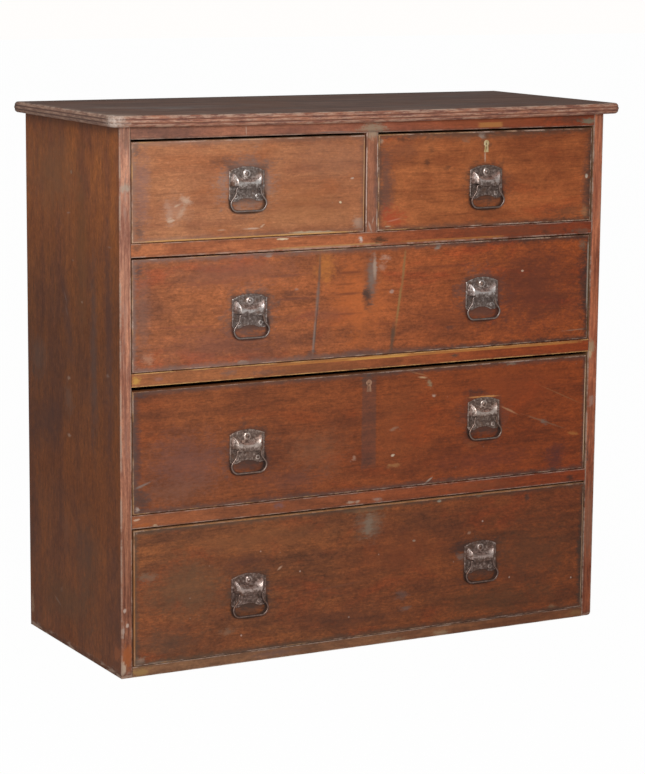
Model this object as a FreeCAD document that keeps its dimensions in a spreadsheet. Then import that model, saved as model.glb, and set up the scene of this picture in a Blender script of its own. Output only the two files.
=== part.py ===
import FreeCAD, Part
import math
import os
import Sketcher

# An old mahogany chest of two short and three long drawers, with pressed metal drop handles.
# X runs to the right, Y to the back and Z up. The origin lies on the floor, in the middle of
# the whole piece from left to right and from the front edge of the top to the back.

os.makedirs("parts", exist_ok=True)

doc = FreeCAD.newDocument("chest_of_drawers")
sheet = doc.addObject("Spreadsheet::Sheet", "sizes")

closeness = 1e-4  # how near two lengths must be to count as the same, in mm
beyond = 1.0  # how far a cutting tool runs past the surface it opens, in mm
reed_count = 3
back_board_count = 6

driving_sizes = [
    # Carcase
    ("carcaseWidth", 1060.0),
    ("carcaseDepth", 450.0),
    ("sideThickness", 23.0),
    ("sideArris", 1.5),
    ("rightFootWear", 7.0),
    ("backThickness", 9.0),
    ("backRebateWidth", 11.0),
    ("backBoardGap", 0.6),
    ("backBoardLift", 8.0),
    # Top board
    ("topThickness", 21.0),
    ("topLeftOverhang", 24.0),
    ("topRightOverhang", 30.0),
    ("topFrontOverhang", 19.0),
    ("topCornerRadius", 14.0),
    ("reedFlat", 0.4),
    # Rails, divider and what carries the drawers
    ("topRailHeight", 24.0),
    ("railHeight", 25.0),
    ("baseRailHeight", 20.0),
    ("railDepth", 60.0),
    ("tenonLength", 9.0),
    ("tenonShoulder", 6.0),
    ("tenonSetback", 12.0),
    ("dividerWidth", 25.0),
    ("dividerShift", -2.0),
    ("runnerWidth", 34.0),
    ("centreRunnerMargin", 28.0),
    ("guideHeight", 18.0),
    ("dustThickness", 6.0),
    ("dustGroove", 8.0),
    # Drawer openings, from the top row down
    ("topRowHeight", 191.0),
    ("secondRowHeight", 216.0),
    ("thirdRowHeight", 243.0),
    ("bottomRowHeight", 266.0),
    # Drawers
    ("drawerGapLeft", 2.0),
    ("drawerGapRight", 3.0),
    ("drawerGapBelow", 1.2),
    ("drawerSideGapAbove", 14.0),
    ("drawerGapBehind", 15.0),
    ("frontThickness", 21.0),
    ("frontArris", 1.0),
    ("drawerWall", 10.0),
    ("drawerBottomThickness", 7.0),
    ("drawerBottomLift", 12.0),
    ("drawerGroove", 5.0),
    ("drawerBackDrop", 8.0),
    ("dovetailLap", 5.0),
    ("dovetailPitch", 52.0),
    ("dovetailPin", 13.0),
    ("dovetailSlope", 2.5),
    # Handles
    ("plateWidth", 74.0),
    ("plateHeight", 65.5),
    ("plateThickness", 1.2),
    ("plateArch", 9.0),
    ("plateScoop", 6.0),
    ("plateLobeWidth", 16.0),
    ("plateLobeRadius", 7.0),
    ("pivotDrop", 38.2),
    ("pivotOut", 9.3),
    ("hoodBaseWidth", 66.0),
    ("hoodHornWidth", 58.0),
    ("hoodHornHeight", 25.4),
    ("hoodDipWidth", 24.0),
    ("hoodDipHeight", 19.0),
    ("hoodLipWidth", 42.6),
    ("hoodLipHeight", 9.5),
    ("hoodDepth", 13.5),
    ("hoodWall", 1.2),
    ("hoodRoll", 2.6),
    ("hoodPivotClearance", 2.6),
    ("apronDrop", 2.9),
    ("screwBossRadius", 7.4),
    ("screwBossRim", 5.8),
    ("screwBossHeight", 1.8),
    ("pinBossRadius", 4.6),
    ("pinBossRim", 3.2),
    ("pinBossHeight", 1.0),
    ("earThickness", 3.0),
    ("earSpread", 30.0),
    ("earWall", 1.1),
    ("pivotClearance", 0.08),
    # Bail
    ("wireDiameter", 3.9),
    ("bailPinLength", 12.0),
    ("bailNeckWidth", 49.0),
    ("bailWaistWidth", 53.0),
    ("bailWaistDrop", 13.5),
    ("bailWidth", 78.0),
    ("bailFlareDrop", 29.6),
    ("bailFootWidth", 62.0),
    ("bailDrop", 44.7),
    ("bailNeckRadius", 4.0),
    ("bailWaistRadius", 12.0),
    ("bailFlareRadius", 11.0),
    ("bailFootRadius", 13.0),
    # Handle screws and pins
    ("screwHeadRadius", 4.4),
    ("screwHeadHeight", 2.4),
    ("screwShankRadius", 2.0),
    ("screwDrop", 13.5),
    ("screwSlotWidth", 1.0),
    ("screwSlotDepth", 0.9),
    ("pinHeadRadius", 2.5),
    ("pinHeadHeight", 1.3),
    ("pinShankRadius", 1.0),
    ("pinSpread", 45.0),
    ("pinDrop", 56.0),
    ("fastenerGrip", 15.0),
    # Where the handles sit on the drawers
    ("topLeftHandleShift", -9.0),
    ("topRightHandleShift", -3.0),
    ("secondLeftHandleInset", 242.0),
    ("secondRightHandleInset", 253.5),
    ("thirdLeftHandleInset", 237.5),
    ("thirdRightHandleInset", 244.0),
    ("bottomLeftHandleInset", 240.5),
    ("bottomRightHandleInset", 247.5),
    ("topLeftHandleDrop", -1.5),
    ("topRightHandleDrop", 12.8),
    ("secondLeftHandleDrop", 9.7),
    ("secondRightHandleDrop", 5.1),
    ("thirdLeftHandleDrop", 14.2),
    ("thirdRightHandleDrop", -7.7),
    ("bottomLeftHandleDrop", 14.5),
    ("bottomRightHandleDrop", 4.3),
    # Keyhole inlays
    ("inlayRadius", 6.2),
    ("inlayFootWidth", 11.0),
    ("inlayHeight", 24.0),
    ("inlayDepth", 3.0),
    ("inlayDrop", 21.5),
    ("topRightInlayShift", -3.0),
    ("thirdInlayShift", -2.0),
    # How far each drawer front stands out of the carcase, and the gap over its two ends
    ("topLeftStandOut", -0.8),
    ("topLeftGapLeft", 5.0),
    ("topLeftGapRight", 5.0),
    ("topRightStandOut", -0.8),
    ("topRightGapLeft", 5.0),
    ("topRightGapRight", 4.5),
    ("secondStandOut", -1.0),
    ("secondGapLeft", 4.5),
    ("secondGapRight", 3.5),
    ("thirdStandOut", -1.0),
    ("thirdGapLeft", 9.5),
    ("thirdGapRight", 8.0),
    ("bottomStandOut", 2.0),
    ("bottomGapLeft", 4.0),
    ("bottomGapRight", 3.5),
]

for line, (alias, number) in enumerate(driving_sizes, start=1):
    sheet.set(f"A{line}", alias)
    sheet.set(f"B{line}", str(number))
    sheet.setAlias(f"B{line}", alias)
doc.recompute()


class Size:
    # A length that holds both its number and the expression over the sheet that gives it
    def __init__(self, value, text):
        self.value = value
        self.text = text

    def __add__(self, other):
        other = as_size(other)
        return Size(self.value + other.value, f"({self.text} + {other.text})")

    def __radd__(self, other):
        return as_size(other) + self

    def __sub__(self, other):
        other = as_size(other)
        return Size(self.value - other.value, f"({self.text} - {other.text})")

    def __rsub__(self, other):
        return as_size(other) - self

    def __mul__(self, other):
        other = as_size(other)
        return Size(self.value * other.value, f"({self.text} * {other.text})")

    def __rmul__(self, other):
        return as_size(other) * self

    def __truediv__(self, other):
        other = as_size(other)
        return Size(self.value / other.value, f"({self.text} / {other.text})")

    def __neg__(self):
        return Size(-self.value, f"(-{self.text})")


def as_size(length):
    if isinstance(length, Size):
        return length
    return Size(float(length), repr(float(length)))


def size(alias):
    return Size(float(sheet.get(alias)), f"sizes.{alias}")


nodes = {}


def keep(piece):
    nodes[piece.Label] = piece
    return piece


def bind(piece, settings):
    for path, length in settings.items():
        piece.setExpression(path, as_size(length).text)


def place(piece, x, y, z):
    bind(piece, {"Placement.Base.x": x, "Placement.Base.y": y, "Placement.Base.z": z})
    return piece


def box(name, x, y, z):
    piece = doc.addObject("Part::Box", name)
    bind(piece, {"Length": x[1] - x[0], "Width": y[1] - y[0], "Height": z[1] - z[0]})
    return place(piece, x[0], y[0], z[0])


def cylinder(name, radius, height, x, y, z, axis):
    piece = doc.addObject("Part::Cylinder", name)
    bind(piece, {"Radius": radius, "Height": height})
    piece.Placement.Rotation = FreeCAD.Rotation(FreeCAD.Vector(0, 0, 1), axis)
    return place(piece, x, y, z)


def group(name, pieces):
    piece = doc.addObject("Part::Compound", name)
    piece.Links = pieces
    return piece


def fuse(name, pieces):
    piece = doc.addObject("Part::MultiFuse", name)
    piece.Shapes = pieces
    piece.Refine = True
    return piece


def cut(name, base, tools):
    piece = doc.addObject("Part::Cut", name)
    piece.Base = base
    piece.Tool = tools[0] if len(tools) == 1 else group(f"{name}_tools", tools)
    return piece


def body(name):
    return doc.addObject("PartDesign::Body", name)


def sketch_on(owner, name, role):
    sketch = owner.newObject("Sketcher::SketchObject", name)
    plane = next(feature for feature in owner.Origin.OriginFeatures if feature.Role == role)
    sketch.AttachmentSupport = (plane, [""])
    sketch.MapMode = "FlatFace"
    return sketch


def tie_point(sketch, edge, end, corner):
    # Holds one end of an edge at its place from the sketch's root point
    for kind, length in zip(("DistanceX", "DistanceY"), corner):
        length = as_size(length)
        constraint = sketch.addConstraint(Sketcher.Constraint(kind, -1, 1, edge, end, length.value))
        sketch.setExpression(f"Constraints[{constraint}]", length.text)


def outline(sketch, corners, bulges=None):
    # A closed outline through the corners. A bulge is the middle point of an edge that is an arc.
    bulges = bulges or {}
    points = [FreeCAD.Vector(as_size(x).value, as_size(y).value, 0) for x, y in corners]
    count = len(points)
    starts = []
    for number in range(count):
        start, end = points[number], points[(number + 1) % count]
        if number in bulges:
            bulge_x, bulge_y = bulges[number]
            middle = FreeCAD.Vector(as_size(bulge_x).value, as_size(bulge_y).value, 0)
            arc = Part.Arc(start, middle, end)
            edge = sketch.addGeometry(arc, False)
            turns_left = (end - start).cross(middle - start).z < 0
            starts.append((edge, 1, 2) if turns_left else (edge, 2, 1))
        else:
            edge = sketch.addGeometry(Part.LineSegment(start, end), False)
            starts.append((edge, 1, 2))
    for number in range(count):
        edge, first, last = starts[number]
        following, following_first, _ = starts[(number + 1) % count]
        sketch.addConstraint(Sketcher.Constraint("Coincident", edge, last, following, following_first))
        tie_point(sketch, edge, first, corners[number])
        if number in bulges:
            bulge_x, bulge_y = bulges[number]
            start_x, start_y = (as_size(length) for length in corners[number])
            end_x, end_y = (as_size(length) for length in corners[(number + 1) % count])
            middle_x, middle_y = (start_x + end_x) / 2, (start_y + end_y) / 2
            half = ((end_x - start_x) * (end_x - start_x) + (end_y - start_y) * (end_y - start_y)) / 4
            rise_x, rise_y = as_size(bulge_x) - middle_x, as_size(bulge_y) - middle_y
            rise = rise_x * rise_x + rise_y * rise_y
            squared = Size(math.sqrt(rise.value), f"sqrt({rise.text})")
            radius = (half + rise) / (2 * squared)
            constraint = sketch.addConstraint(Sketcher.Constraint("Radius", edge, radius.value))
            sketch.setExpression(f"Constraints[{constraint}]", radius.text)


def pad(owner, sketch, length, backwards=False):
    feature = owner.newObject("PartDesign::Pad", f"{owner.Name}_pad")
    feature.Profile = sketch
    feature.Reversed = backwards
    bind(feature, {"Length": length})
    doc.recompute()
    return feature


def edges_where(feature, wanted):
    return [
        f"Edge{number}"
        for number, edge in enumerate(feature.Shape.Edges, start=1)
        if wanted(edge)
    ]


def dress(owner, kind, feature, wanted, amount):
    # A fillet or a chamfer on the wanted edges of the feature
    dressed = owner.newObject(f"PartDesign::{kind}", f"{owner.Name}_{kind.lower()}")
    dressed.Base = (feature, edges_where(feature, wanted))
    bind(dressed, {"Radius" if kind == "Fillet" else "Size": amount})
    doc.recompute()
    return dressed


def near(first, second):
    return abs(first - second) < closeness


# Planes that everything is measured from
front = -(size("carcaseDepth") - size("topFrontOverhang")) / 2
back = front + size("carcaseDepth")
top_width = size("topLeftOverhang") + size("carcaseWidth") + size("topRightOverhang")
left = size("topLeftOverhang") - top_width / 2
right = left + size("carcaseWidth")
inner_left = left + size("sideThickness")
inner_right = right - size("sideThickness")
back_inner = back - size("backThickness")
rail_back = front + size("railDepth")
divider_left = (left + right) / 2 + size("dividerShift") - size("dividerWidth") / 2
divider_right = divider_left + size("dividerWidth")

# Heights of the rails, from the floor up
row_heights = ["bottomRowHeight", "thirdRowHeight", "secondRowHeight", "topRowHeight"]
row_floor = {}
row_ceiling = {}
level = size("baseRailHeight")
for row_height in row_heights:
    row_floor[row_height] = level
    row_ceiling[row_height] = level + size(row_height)
    level = row_ceiling[row_height] + size("railHeight")
carcase_top = row_ceiling["topRowHeight"] + size("topRailHeight")


# Rails across the front and the back, with a tenon at each end

def rail(name, y, z):
    tenon_y = (y[0] + size("tenonSetback"), y[1] - size("tenonSetback"))
    tenon_z = (z[0] + size("tenonShoulder"), z[1] - size("tenonShoulder"))
    tenon_x = (inner_left - size("tenonLength"), inner_right + size("tenonLength"))
    return fuse(name, [
        box(f"{name}_board", (inner_left, inner_right), y, z),
        box(f"{name}_tenons", tenon_x, tenon_y, tenon_z),
    ])


front_band = (front, rail_back)
back_band = (back_inner - size("railDepth"), back_inner)
top_band = (row_ceiling["topRowHeight"], carcase_top)
rail_levels = {
    "upper_drawer_rail": "secondRowHeight",
    "middle_drawer_rail": "thirdRowHeight",
    "lower_drawer_rail": "bottomRowHeight",
}
rail_bands = {
    name: (row_ceiling[row_below], row_ceiling[row_below] + size("railHeight"))
    for name, row_below in rail_levels.items()
}


# Dust boards, one over each long drawer, grooved into the rail and the runners

runner_left = (inner_left, inner_left + size("runnerWidth"))
runner_right = (inner_right - size("runnerWidth"), inner_right)
runner_middle = (divider_left - size("centreRunnerMargin"), divider_right + size("centreRunnerMargin"))
dust_y = (rail_back - size("dustGroove"), back_inner)


def dust_board(name, x, band):
    middle = (band[0] + band[1]) / 2
    half = size("dustThickness") / 2
    reach = (x[0] - size("dustGroove"), x[1] + size("dustGroove"))
    return box(name, reach, dust_y, (middle - half, middle + half))


dust_boards = {
    "upper_drawer_rail": [
        dust_board("dust_upper_left", (runner_left[1], runner_middle[0]), rail_bands["upper_drawer_rail"]),
        dust_board("dust_upper_right", (runner_middle[1], runner_right[0]), rail_bands["upper_drawer_rail"]),
    ],
    "middle_drawer_rail": [
        dust_board("dust_middle", (runner_left[1], runner_right[0]), rail_bands["middle_drawer_rail"]),
    ],
    "lower_drawer_rail": [
        dust_board("dust_lower", (runner_left[1], runner_right[0]), rail_bands["lower_drawer_rail"]),
    ],
}
all_dust = [board for boards in dust_boards.values() for board in boards]
keep(group("dust_boards", all_dust))


# Centre divider, tenoned into the rail above and the rail below it

def centre_divider():
    opening = (row_floor["topRowHeight"], row_ceiling["topRowHeight"])
    tenon_x = (divider_left + size("tenonShoulder"), divider_right - size("tenonShoulder"))
    tenon_y = (front + size("tenonSetback"), rail_back - size("tenonSetback"))
    tenon_z = (opening[0] - size("tenonLength"), opening[1] + size("tenonLength"))
    return fuse("centre_divider", [
        box("divider_board", (divider_left, divider_right), front_band, opening),
        box("divider_tenons", tenon_x, tenon_y, tenon_z),
    ])


divider = keep(centre_divider())
top_front_rail = keep(cut("top_front_rail", rail("top_front_rail_blank", front_band, top_band), [divider]))
top_back_rail = keep(rail("top_back_rail", back_band, top_band))
bottom_rail = keep(rail("bottom_rail", front_band, (as_size(0), size("baseRailHeight"))))
drawer_rails = []
for name, band in rail_bands.items():
    tools = list(dust_boards[name])
    if name == "upper_drawer_rail":
        tools.append(divider)
    drawer_rails.append(keep(cut(name, rail(f"{name}_blank", front_band, band), tools)))


# Side boards: grain upright, rebated for the back boards, mortised for the rails

def side_board(name, outer_x, inward, foot_wear=None):
    owner = body(f"{name}_board")
    sketch = sketch_on(owner, f"{name}_plan", "XY_Plane")
    thickness, depth = size("sideThickness"), size("carcaseDepth")
    rebate_x = thickness - size("backRebateWidth")
    rebate_y = depth - size("backThickness")
    corners = [
        (0, 0), (thickness, 0), (thickness, rebate_y),
        (rebate_x, rebate_y), (rebate_x, depth), (0, depth),
    ]
    outline(sketch, [(as_size(x) * inward, as_size(y)) for x, y in corners])
    board = pad(owner, sketch, carcase_top)

    def outer_foot(edge):
        bounds = edge.BoundBox
        return near(bounds.ZMax, 0.0) and near(bounds.XMin, 0.0) and near(bounds.XMax, 0.0)

    def front_arris(edge):
        return near(edge.BoundBox.YMax, 0.0) and edge.BoundBox.ZLength > carcase_top.value / 2

    if foot_wear is not None:
        board = dress(owner, "Fillet", board, outer_foot, foot_wear)
    dress(owner, "Fillet", board, front_arris, size("sideArris"))
    place(owner, outer_x, front, 0)
    return keep(cut(name, owner, [top_front_rail, top_back_rail, bottom_rail] + drawer_rails))


side_board("left_side", left, 1)
side_board("right_side", right, -1, size("rightFootWear"))


# Runners that carry the drawers, and the kickers over the top row

rails_upwards = [None, "lower_drawer_rail", "middle_drawer_rail", "upper_drawer_rail"]


def runners(name, x):
    strips = []
    for number, (row_height, rail_name) in enumerate(zip(row_heights, rails_upwards)):
        top = row_floor[row_height]
        depth = size("railHeight") if rail_name else size("baseRailHeight")
        strip = box(f"{name}_blank_{number}", x, (rail_back, back_inner), (top - depth, top))
        if rail_name:
            strip = cut(f"{name}_strip_{number}", strip, dust_boards[rail_name])
        strips.append(strip)
    strips.append(box(f"{name}_kicker", x, (rail_back, back_band[0]), top_band))
    return keep(group(name, strips))


runners("left_runners", runner_left)
runners("right_runners", runner_right)


def centre_runner():
    top = row_floor["topRowHeight"]
    run = (rail_back, back_inner)
    blank = box("centre_runner_blank", runner_middle, run, (top - size("railHeight"), top))
    guide = box("centre_guide", (divider_left, divider_right), run, (top, top + size("guideHeight")))
    kicker = box("centre_kicker", runner_middle, (rail_back, back_band[0]), top_band)
    runner = cut("centre_runner_board", blank, dust_boards["upper_drawer_rail"])
    return keep(group("centre_runner", [runner, guide, kicker]))


centre_runner()


# Upright back boards, side by side in the rebates

def back_boards():
    start = left + size("sideThickness") - size("backRebateWidth")
    span = right - size("sideThickness") + size("backRebateWidth") - start
    width = (span - size("backBoardGap") * (back_board_count - 1)) / back_board_count
    boards = []
    for number in range(back_board_count):
        first = start + (width + size("backBoardGap")) * number
        boards.append(box(f"back_board_{number}", (first, first + width), (back_inner, back),
                          (size("backBoardLift"), carcase_top)))
    return keep(group("back_boards", boards))


back_boards()


# Top board: three reeds one over the other, run round the front and both ends

def top_board():
    reed = size("topThickness") / reed_count
    depth = size("carcaseDepth") + size("topFrontOverhang")
    layers = []
    for number in range(reed_count):
        owner = body(f"top_reed_{number}")
        sketch = sketch_on(owner, f"top_plan_{number}", "XY_Plane")
        outline(sketch, [(0, 0), (top_width, 0), (top_width, depth), (0, depth)])
        slab = pad(owner, sketch, reed)

        def front_corner(edge):
            return near(edge.BoundBox.YMax, 0.0) and edge.BoundBox.ZLength > edge.BoundBox.XLength

        rounded = dress(owner, "Fillet", slab, front_corner, size("topCornerRadius"))

        def shown_edge(edge):
            return near(edge.BoundBox.ZLength, 0.0) and not near(edge.BoundBox.YMin, depth.value)

        dress(owner, "Fillet", rounded, shown_edge, (reed - size("reedFlat")) / 2)
        owner.Tip.Label = f"top_reed_{number}_edge"
        reed_foot = carcase_top + reed * number
        place(owner, left - size("topLeftOverhang"), front - size("topFrontOverhang"), reed_foot)
        layers.append(owner)
    return keep(fuse("top_board", layers))


top_board()


# Fasteners: a turned head and shank, the shank running back into the wood

dome_reach = 0.72  # where the round of a head is taken, as a share of its radius
dome_rise = 0.7  # and how high it is there, as a share of its height


def fastener(name, head_radius, head_height, shank_radius, grip):
    owner = body(name)
    sketch = sketch_on(owner, f"{name}_profile", "XY_Plane")
    dome = (head_radius * dome_reach, -(head_height * dome_rise))
    outline(
        sketch,
        [(0, -head_height), (head_radius, 0), (shank_radius, 0), (shank_radius, grip), (0, grip)],
        {0: dome},
    )
    turned = owner.newObject("PartDesign::Revolution", f"{name}_turned")
    turned.Profile = sketch
    turned.ReferenceAxis = (sketch, ["V_Axis"])
    turned.Angle = 360.0
    doc.recompute()
    return owner


def screw_slot(name):
    half = size("screwSlotWidth") / 2
    reach = size("screwHeadRadius") + beyond
    floor = size("screwSlotDepth") - size("screwHeadHeight")
    return box(f"{name}_slot", (-reach, reach), (-size("screwHeadHeight") - beyond, floor), (-half, half))


# Handle backplate: its own origin is on the drawer face, at the height of the bail's axis

plate_top = size("pivotDrop")
plate_foot = plate_top - size("plateHeight")


def plate_sheet(name):
    owner = body(f"{name}_sheet")
    sketch = sketch_on(owner, f"{name}_outline", "XZ_Plane")
    half = size("plateWidth") / 2
    shoulder = plate_top - size("plateArch")
    lobe = size("plateLobeRadius")
    scoop = half - size("plateLobeWidth")
    diagonal = lobe * (1 - math.cos(math.pi / 4))
    outline(
        sketch,
        [(half, shoulder), (-half, shoulder), (-half, plate_foot + lobe), (-half + lobe, plate_foot),
         (-scoop, plate_foot), (scoop, plate_foot), (half - lobe, plate_foot), (half, plate_foot + lobe)],
        {
            0: (0, plate_top),
            2: (-half + diagonal, plate_foot + diagonal),
            4: (0, plate_foot + size("plateScoop")),
            6: (half - diagonal, plate_foot + diagonal),
        },
    )
    pad(owner, sketch, size("plateThickness"))
    return owner


def hood_block(name, low, wall):
    # A canopy that comes out of the plate to a straight lip. Its upper edge dips in the middle
    # and rises to a horn at each end. The wall is how far it lies inside the outer surface.
    base = size("hoodBaseWidth") / 2 - wall
    horn = size("hoodHornWidth") / 2 - wall
    dip = size("hoodDipWidth") / 2 - wall
    lip = size("hoodLipWidth") / 2 - wall
    horn_top, dip_top, lip_top = (
        size(alias) - wall for alias in ("hoodHornHeight", "hoodDipHeight", "hoodLipHeight")
    )
    owner = body(name)
    foot = sketch_on(owner, f"{name}_foot", "XZ_Plane")
    outline(foot, [
        (-base, low), (-horn, horn_top), (-dip, dip_top), (dip, dip_top), (horn, horn_top), (base, low),
    ])
    brow = sketch_on(owner, f"{name}_brow", "XZ_Plane")
    bind(brow, {"AttachmentOffset.Base.z": size("hoodDepth") - wall})
    outline(brow, [
        (-lip, low), (-lip, lip_top), (-dip, lip_top), (dip, lip_top), (lip, lip_top), (lip, low),
    ])
    loft = owner.newObject("PartDesign::AdditiveLoft", f"{name}_loft")
    loft.Profile = foot
    loft.Sections = [brow]
    loft.Ruled = True
    doc.recompute()
    return owner, loft


def hood(name):
    low = size("hoodPivotClearance")
    outer, loft = hood_block(f"{name}_outer", low, as_size(0))
    inner, _ = hood_block(f"{name}_inner", low - beyond, size("hoodWall"))

    def lip_edge(edge):
        bounds = edge.BoundBox
        return near(bounds.YMax, -size("hoodDepth").value) and near(bounds.ZMin, size("hoodLipHeight").value)

    dress(outer, "Fillet", loft, lip_edge, size("hoodRoll"))
    half = size("hoodLipWidth") / 2
    apron_y = (-size("hoodDepth"), size("hoodWall") - size("hoodDepth"))
    apron_z = (-size("apronDrop"), low + size("hoodWall"))
    apron = box(f"{name}_apron", (-half, half), apron_y, apron_z)
    return cut(f"{name}_shell", outer, [inner]), apron


def boss(name, kind, x, z):
    # A raised cone on the plate around a screw or a pin
    piece = doc.addObject("Part::Cone", name)
    bind(piece, {"Radius1": size(f"{kind}BossRadius"), "Radius2": size(f"{kind}BossRim"),
                 "Height": size("plateThickness") + size(f"{kind}BossHeight")})
    piece.Placement.Rotation = FreeCAD.Rotation(FreeCAD.Vector(0, 0, 1), FreeCAD.Vector(0, -1, 0))
    return place(piece, x, 0, z)


def fastener_places():
    places = [("screw", as_size(0), plate_top - size("screwDrop"))]
    for side in (-1, 1):
        places.append(("pin", size("pinSpread") / 2 * side, plate_top - size("pinDrop")))
    return places


def handle_plate(name, x, y, z):
    bore = size("wireDiameter") / 2 + size("pivotClearance")
    ear_reach = bore + size("earWall")
    ears = []
    for side in (-1, 1):
        near_x = size("earSpread") / 2 * side
        far_x = near_x + size("earThickness") * side
        ear_x = (near_x, far_x) if side > 0 else (far_x, near_x)
        ears.append(box(f"{name}_ear_{side + 1}", ear_x, (-(size("pivotOut") + ear_reach), as_size(0)),
                        (-ear_reach, ear_reach)))
    bosses = [boss(f"{name}_boss_{number}", kind, boss_x, boss_z)
              for number, (kind, boss_x, boss_z) in enumerate(fastener_places())]
    shell, apron = hood(name)
    metal = fuse(f"{name}_metal", [plate_sheet(name), shell, apron] + bosses + ears)
    axis_reach = size("earSpread") / 2 + size("earThickness") + beyond
    drills = [cylinder(f"{name}_axis_bore", bore, axis_reach * 2, -axis_reach, -size("pivotOut"), 0,
                       FreeCAD.Vector(1, 0, 0))]
    for number, (kind, hole_x, hole_z) in enumerate(fastener_places()):
        depth = size("plateThickness") + size(f"{kind}BossHeight") + beyond * 2
        drills.append(cylinder(f"{name}_hole_{number}", size(f"{kind}ShankRadius"), depth, hole_x, beyond,
                               hole_z, FreeCAD.Vector(0, -1, 0)))
    return place(cut(name, metal, drills), x, y, z)


def handle_fasteners(name, x, y, z):
    pieces = []
    for number, (kind, shift, rise) in enumerate(fastener_places()):
        label = f"{name}_{kind}_{number}"
        piece = fastener(label, size(f"{kind}HeadRadius"), size(f"{kind}HeadHeight"),
                         size(f"{kind}ShankRadius"), size("fastenerGrip"))
        if kind == "screw":
            piece = cut(f"{label}_slotted", piece, [screw_slot(label)])
        seat = y - size("plateThickness") - size(f"{kind}BossHeight")
        pieces.append(place(piece, x + shift, seat, z + rise))
    return pieces


# Bail: a bent wire whose two ends turn inwards and run in the ears of the plate

def bail_route():
    pin_x = size("bailNeckWidth") / 2 - size("bailPinLength")
    right_half = [
        (pin_x, as_size(0), None),
        (size("bailNeckWidth") / 2, as_size(0), size("bailNeckRadius")),
        (size("bailWaistWidth") / 2, -size("bailWaistDrop"), size("bailWaistRadius")),
        (size("bailWidth") / 2, -size("bailFlareDrop"), size("bailFlareRadius")),
        (size("bailFootWidth") / 2, -size("bailDrop"), size("bailFootRadius")),
    ]
    left_half = [(-x, z, radius) for x, z, radius in right_half]
    return left_half + right_half[::-1]


def rounded_route(sketch, route):
    # Straight runs joined by tangent arcs. Each corner is a construction point that its two runs aim at.
    points = [FreeCAD.Vector(x.value, z.value, 0) for x, z, _ in route]
    start = points[0]
    ends = []
    for number in range(1, len(points) - 1):
        corner = points[number]
        radius = route[number][2].value
        before = (points[number - 1] - corner).normalize()
        after = (points[number + 1] - corner).normalize()
        half_angle = before.getAngle(after) / 2
        trim = radius / math.tan(half_angle)
        arc_start = corner + before * trim
        arc_end = corner + after * trim
        bisector = (before + after).normalize()
        middle = corner + bisector * (radius / math.sin(half_angle) - radius)
        run = sketch.addGeometry(Part.LineSegment(start, arc_start), False)
        arc = sketch.addGeometry(Part.Arc(arc_start, middle, arc_end), False)
        turns_left = (arc_end - arc_start).cross(middle - arc_start).z < 0
        ends.append((run, arc, (1, 2) if turns_left else (2, 1)))
        start = arc_end
    last_run = sketch.addGeometry(Part.LineSegment(start, points[-1]), False)
    tie_point(sketch, ends[0][0], 1, route[0][:2])
    for number, (run, arc, (arc_start, arc_end)) in enumerate(ends, start=1):
        following = ends[number][0] if number < len(ends) else last_run
        sketch.addConstraint(Sketcher.Constraint("Tangent", run, 2, arc, arc_start))
        sketch.addConstraint(Sketcher.Constraint("Tangent", arc, arc_end, following, 1))
        radius = route[number][2]
        constraint = sketch.addConstraint(Sketcher.Constraint("Radius", arc, radius.value))
        sketch.setExpression(f"Constraints[{constraint}]", radius.text)
        corner = sketch.addGeometry(Part.Point(points[number]), True)
        sketch.addConstraint(Sketcher.Constraint("PointOnObject", corner, 1, run))
        sketch.addConstraint(Sketcher.Constraint("PointOnObject", corner, 1, following))
        tie_point(sketch, corner, 1, route[number][:2])
    tie_point(sketch, last_run, 2, route[-1][:2])


def bail(name, x, y, z):
    owner = body(name)
    route = bail_route()
    path = sketch_on(owner, f"{name}_route", "XZ_Plane")
    rounded_route(path, route)
    section = sketch_on(owner, f"{name}_section", "YZ_Plane")
    bind(section, {"AttachmentOffset.Base.z": route[0][0]})
    circle = section.addGeometry(Part.Circle(FreeCAD.Vector(), FreeCAD.Vector(0, 0, 1),
                                             size("wireDiameter").value / 2), False)
    section.addConstraint(Sketcher.Constraint("Coincident", circle, 3, -1, 1))
    diameter = size("wireDiameter")
    constraint = section.addConstraint(Sketcher.Constraint("Diameter", circle, diameter.value))
    section.setExpression(f"Constraints[{constraint}]", diameter.text)
    wire = owner.newObject("PartDesign::AdditivePipe", f"{name}_wire")
    wire.Profile = section
    wire.Spine = (path, [])
    doc.recompute()
    return keep(place(owner, x, y - size("pivotOut"), z))


# Keyhole inlay: a round head over a foot that widens downwards, let into the drawer front

waist_share = 0.6  # half of the waist's width, as a share of the head's radius
neck_share = 1.8  # how far down the waist lies, as a share of the head's radius


def keyhole_inlay(name, x, y, top):
    owner = body(name)
    sketch = sketch_on(owner, f"{name}_outline", "XZ_Plane")
    radius = size("inlayRadius")
    waist = radius * waist_share
    neck = -(radius * neck_share)
    foot = size("inlayFootWidth") / 2
    outline(
        sketch,
        [(waist, neck), (-waist, neck), (-foot, -size("inlayHeight")), (foot, -size("inlayHeight"))],
        {0: (0, 0)},
    )
    pad(owner, sketch, size("inlayDepth"), backwards=True)
    return keep(place(owner, x, y, top))


# Drawers

fewest_tails = 2


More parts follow.
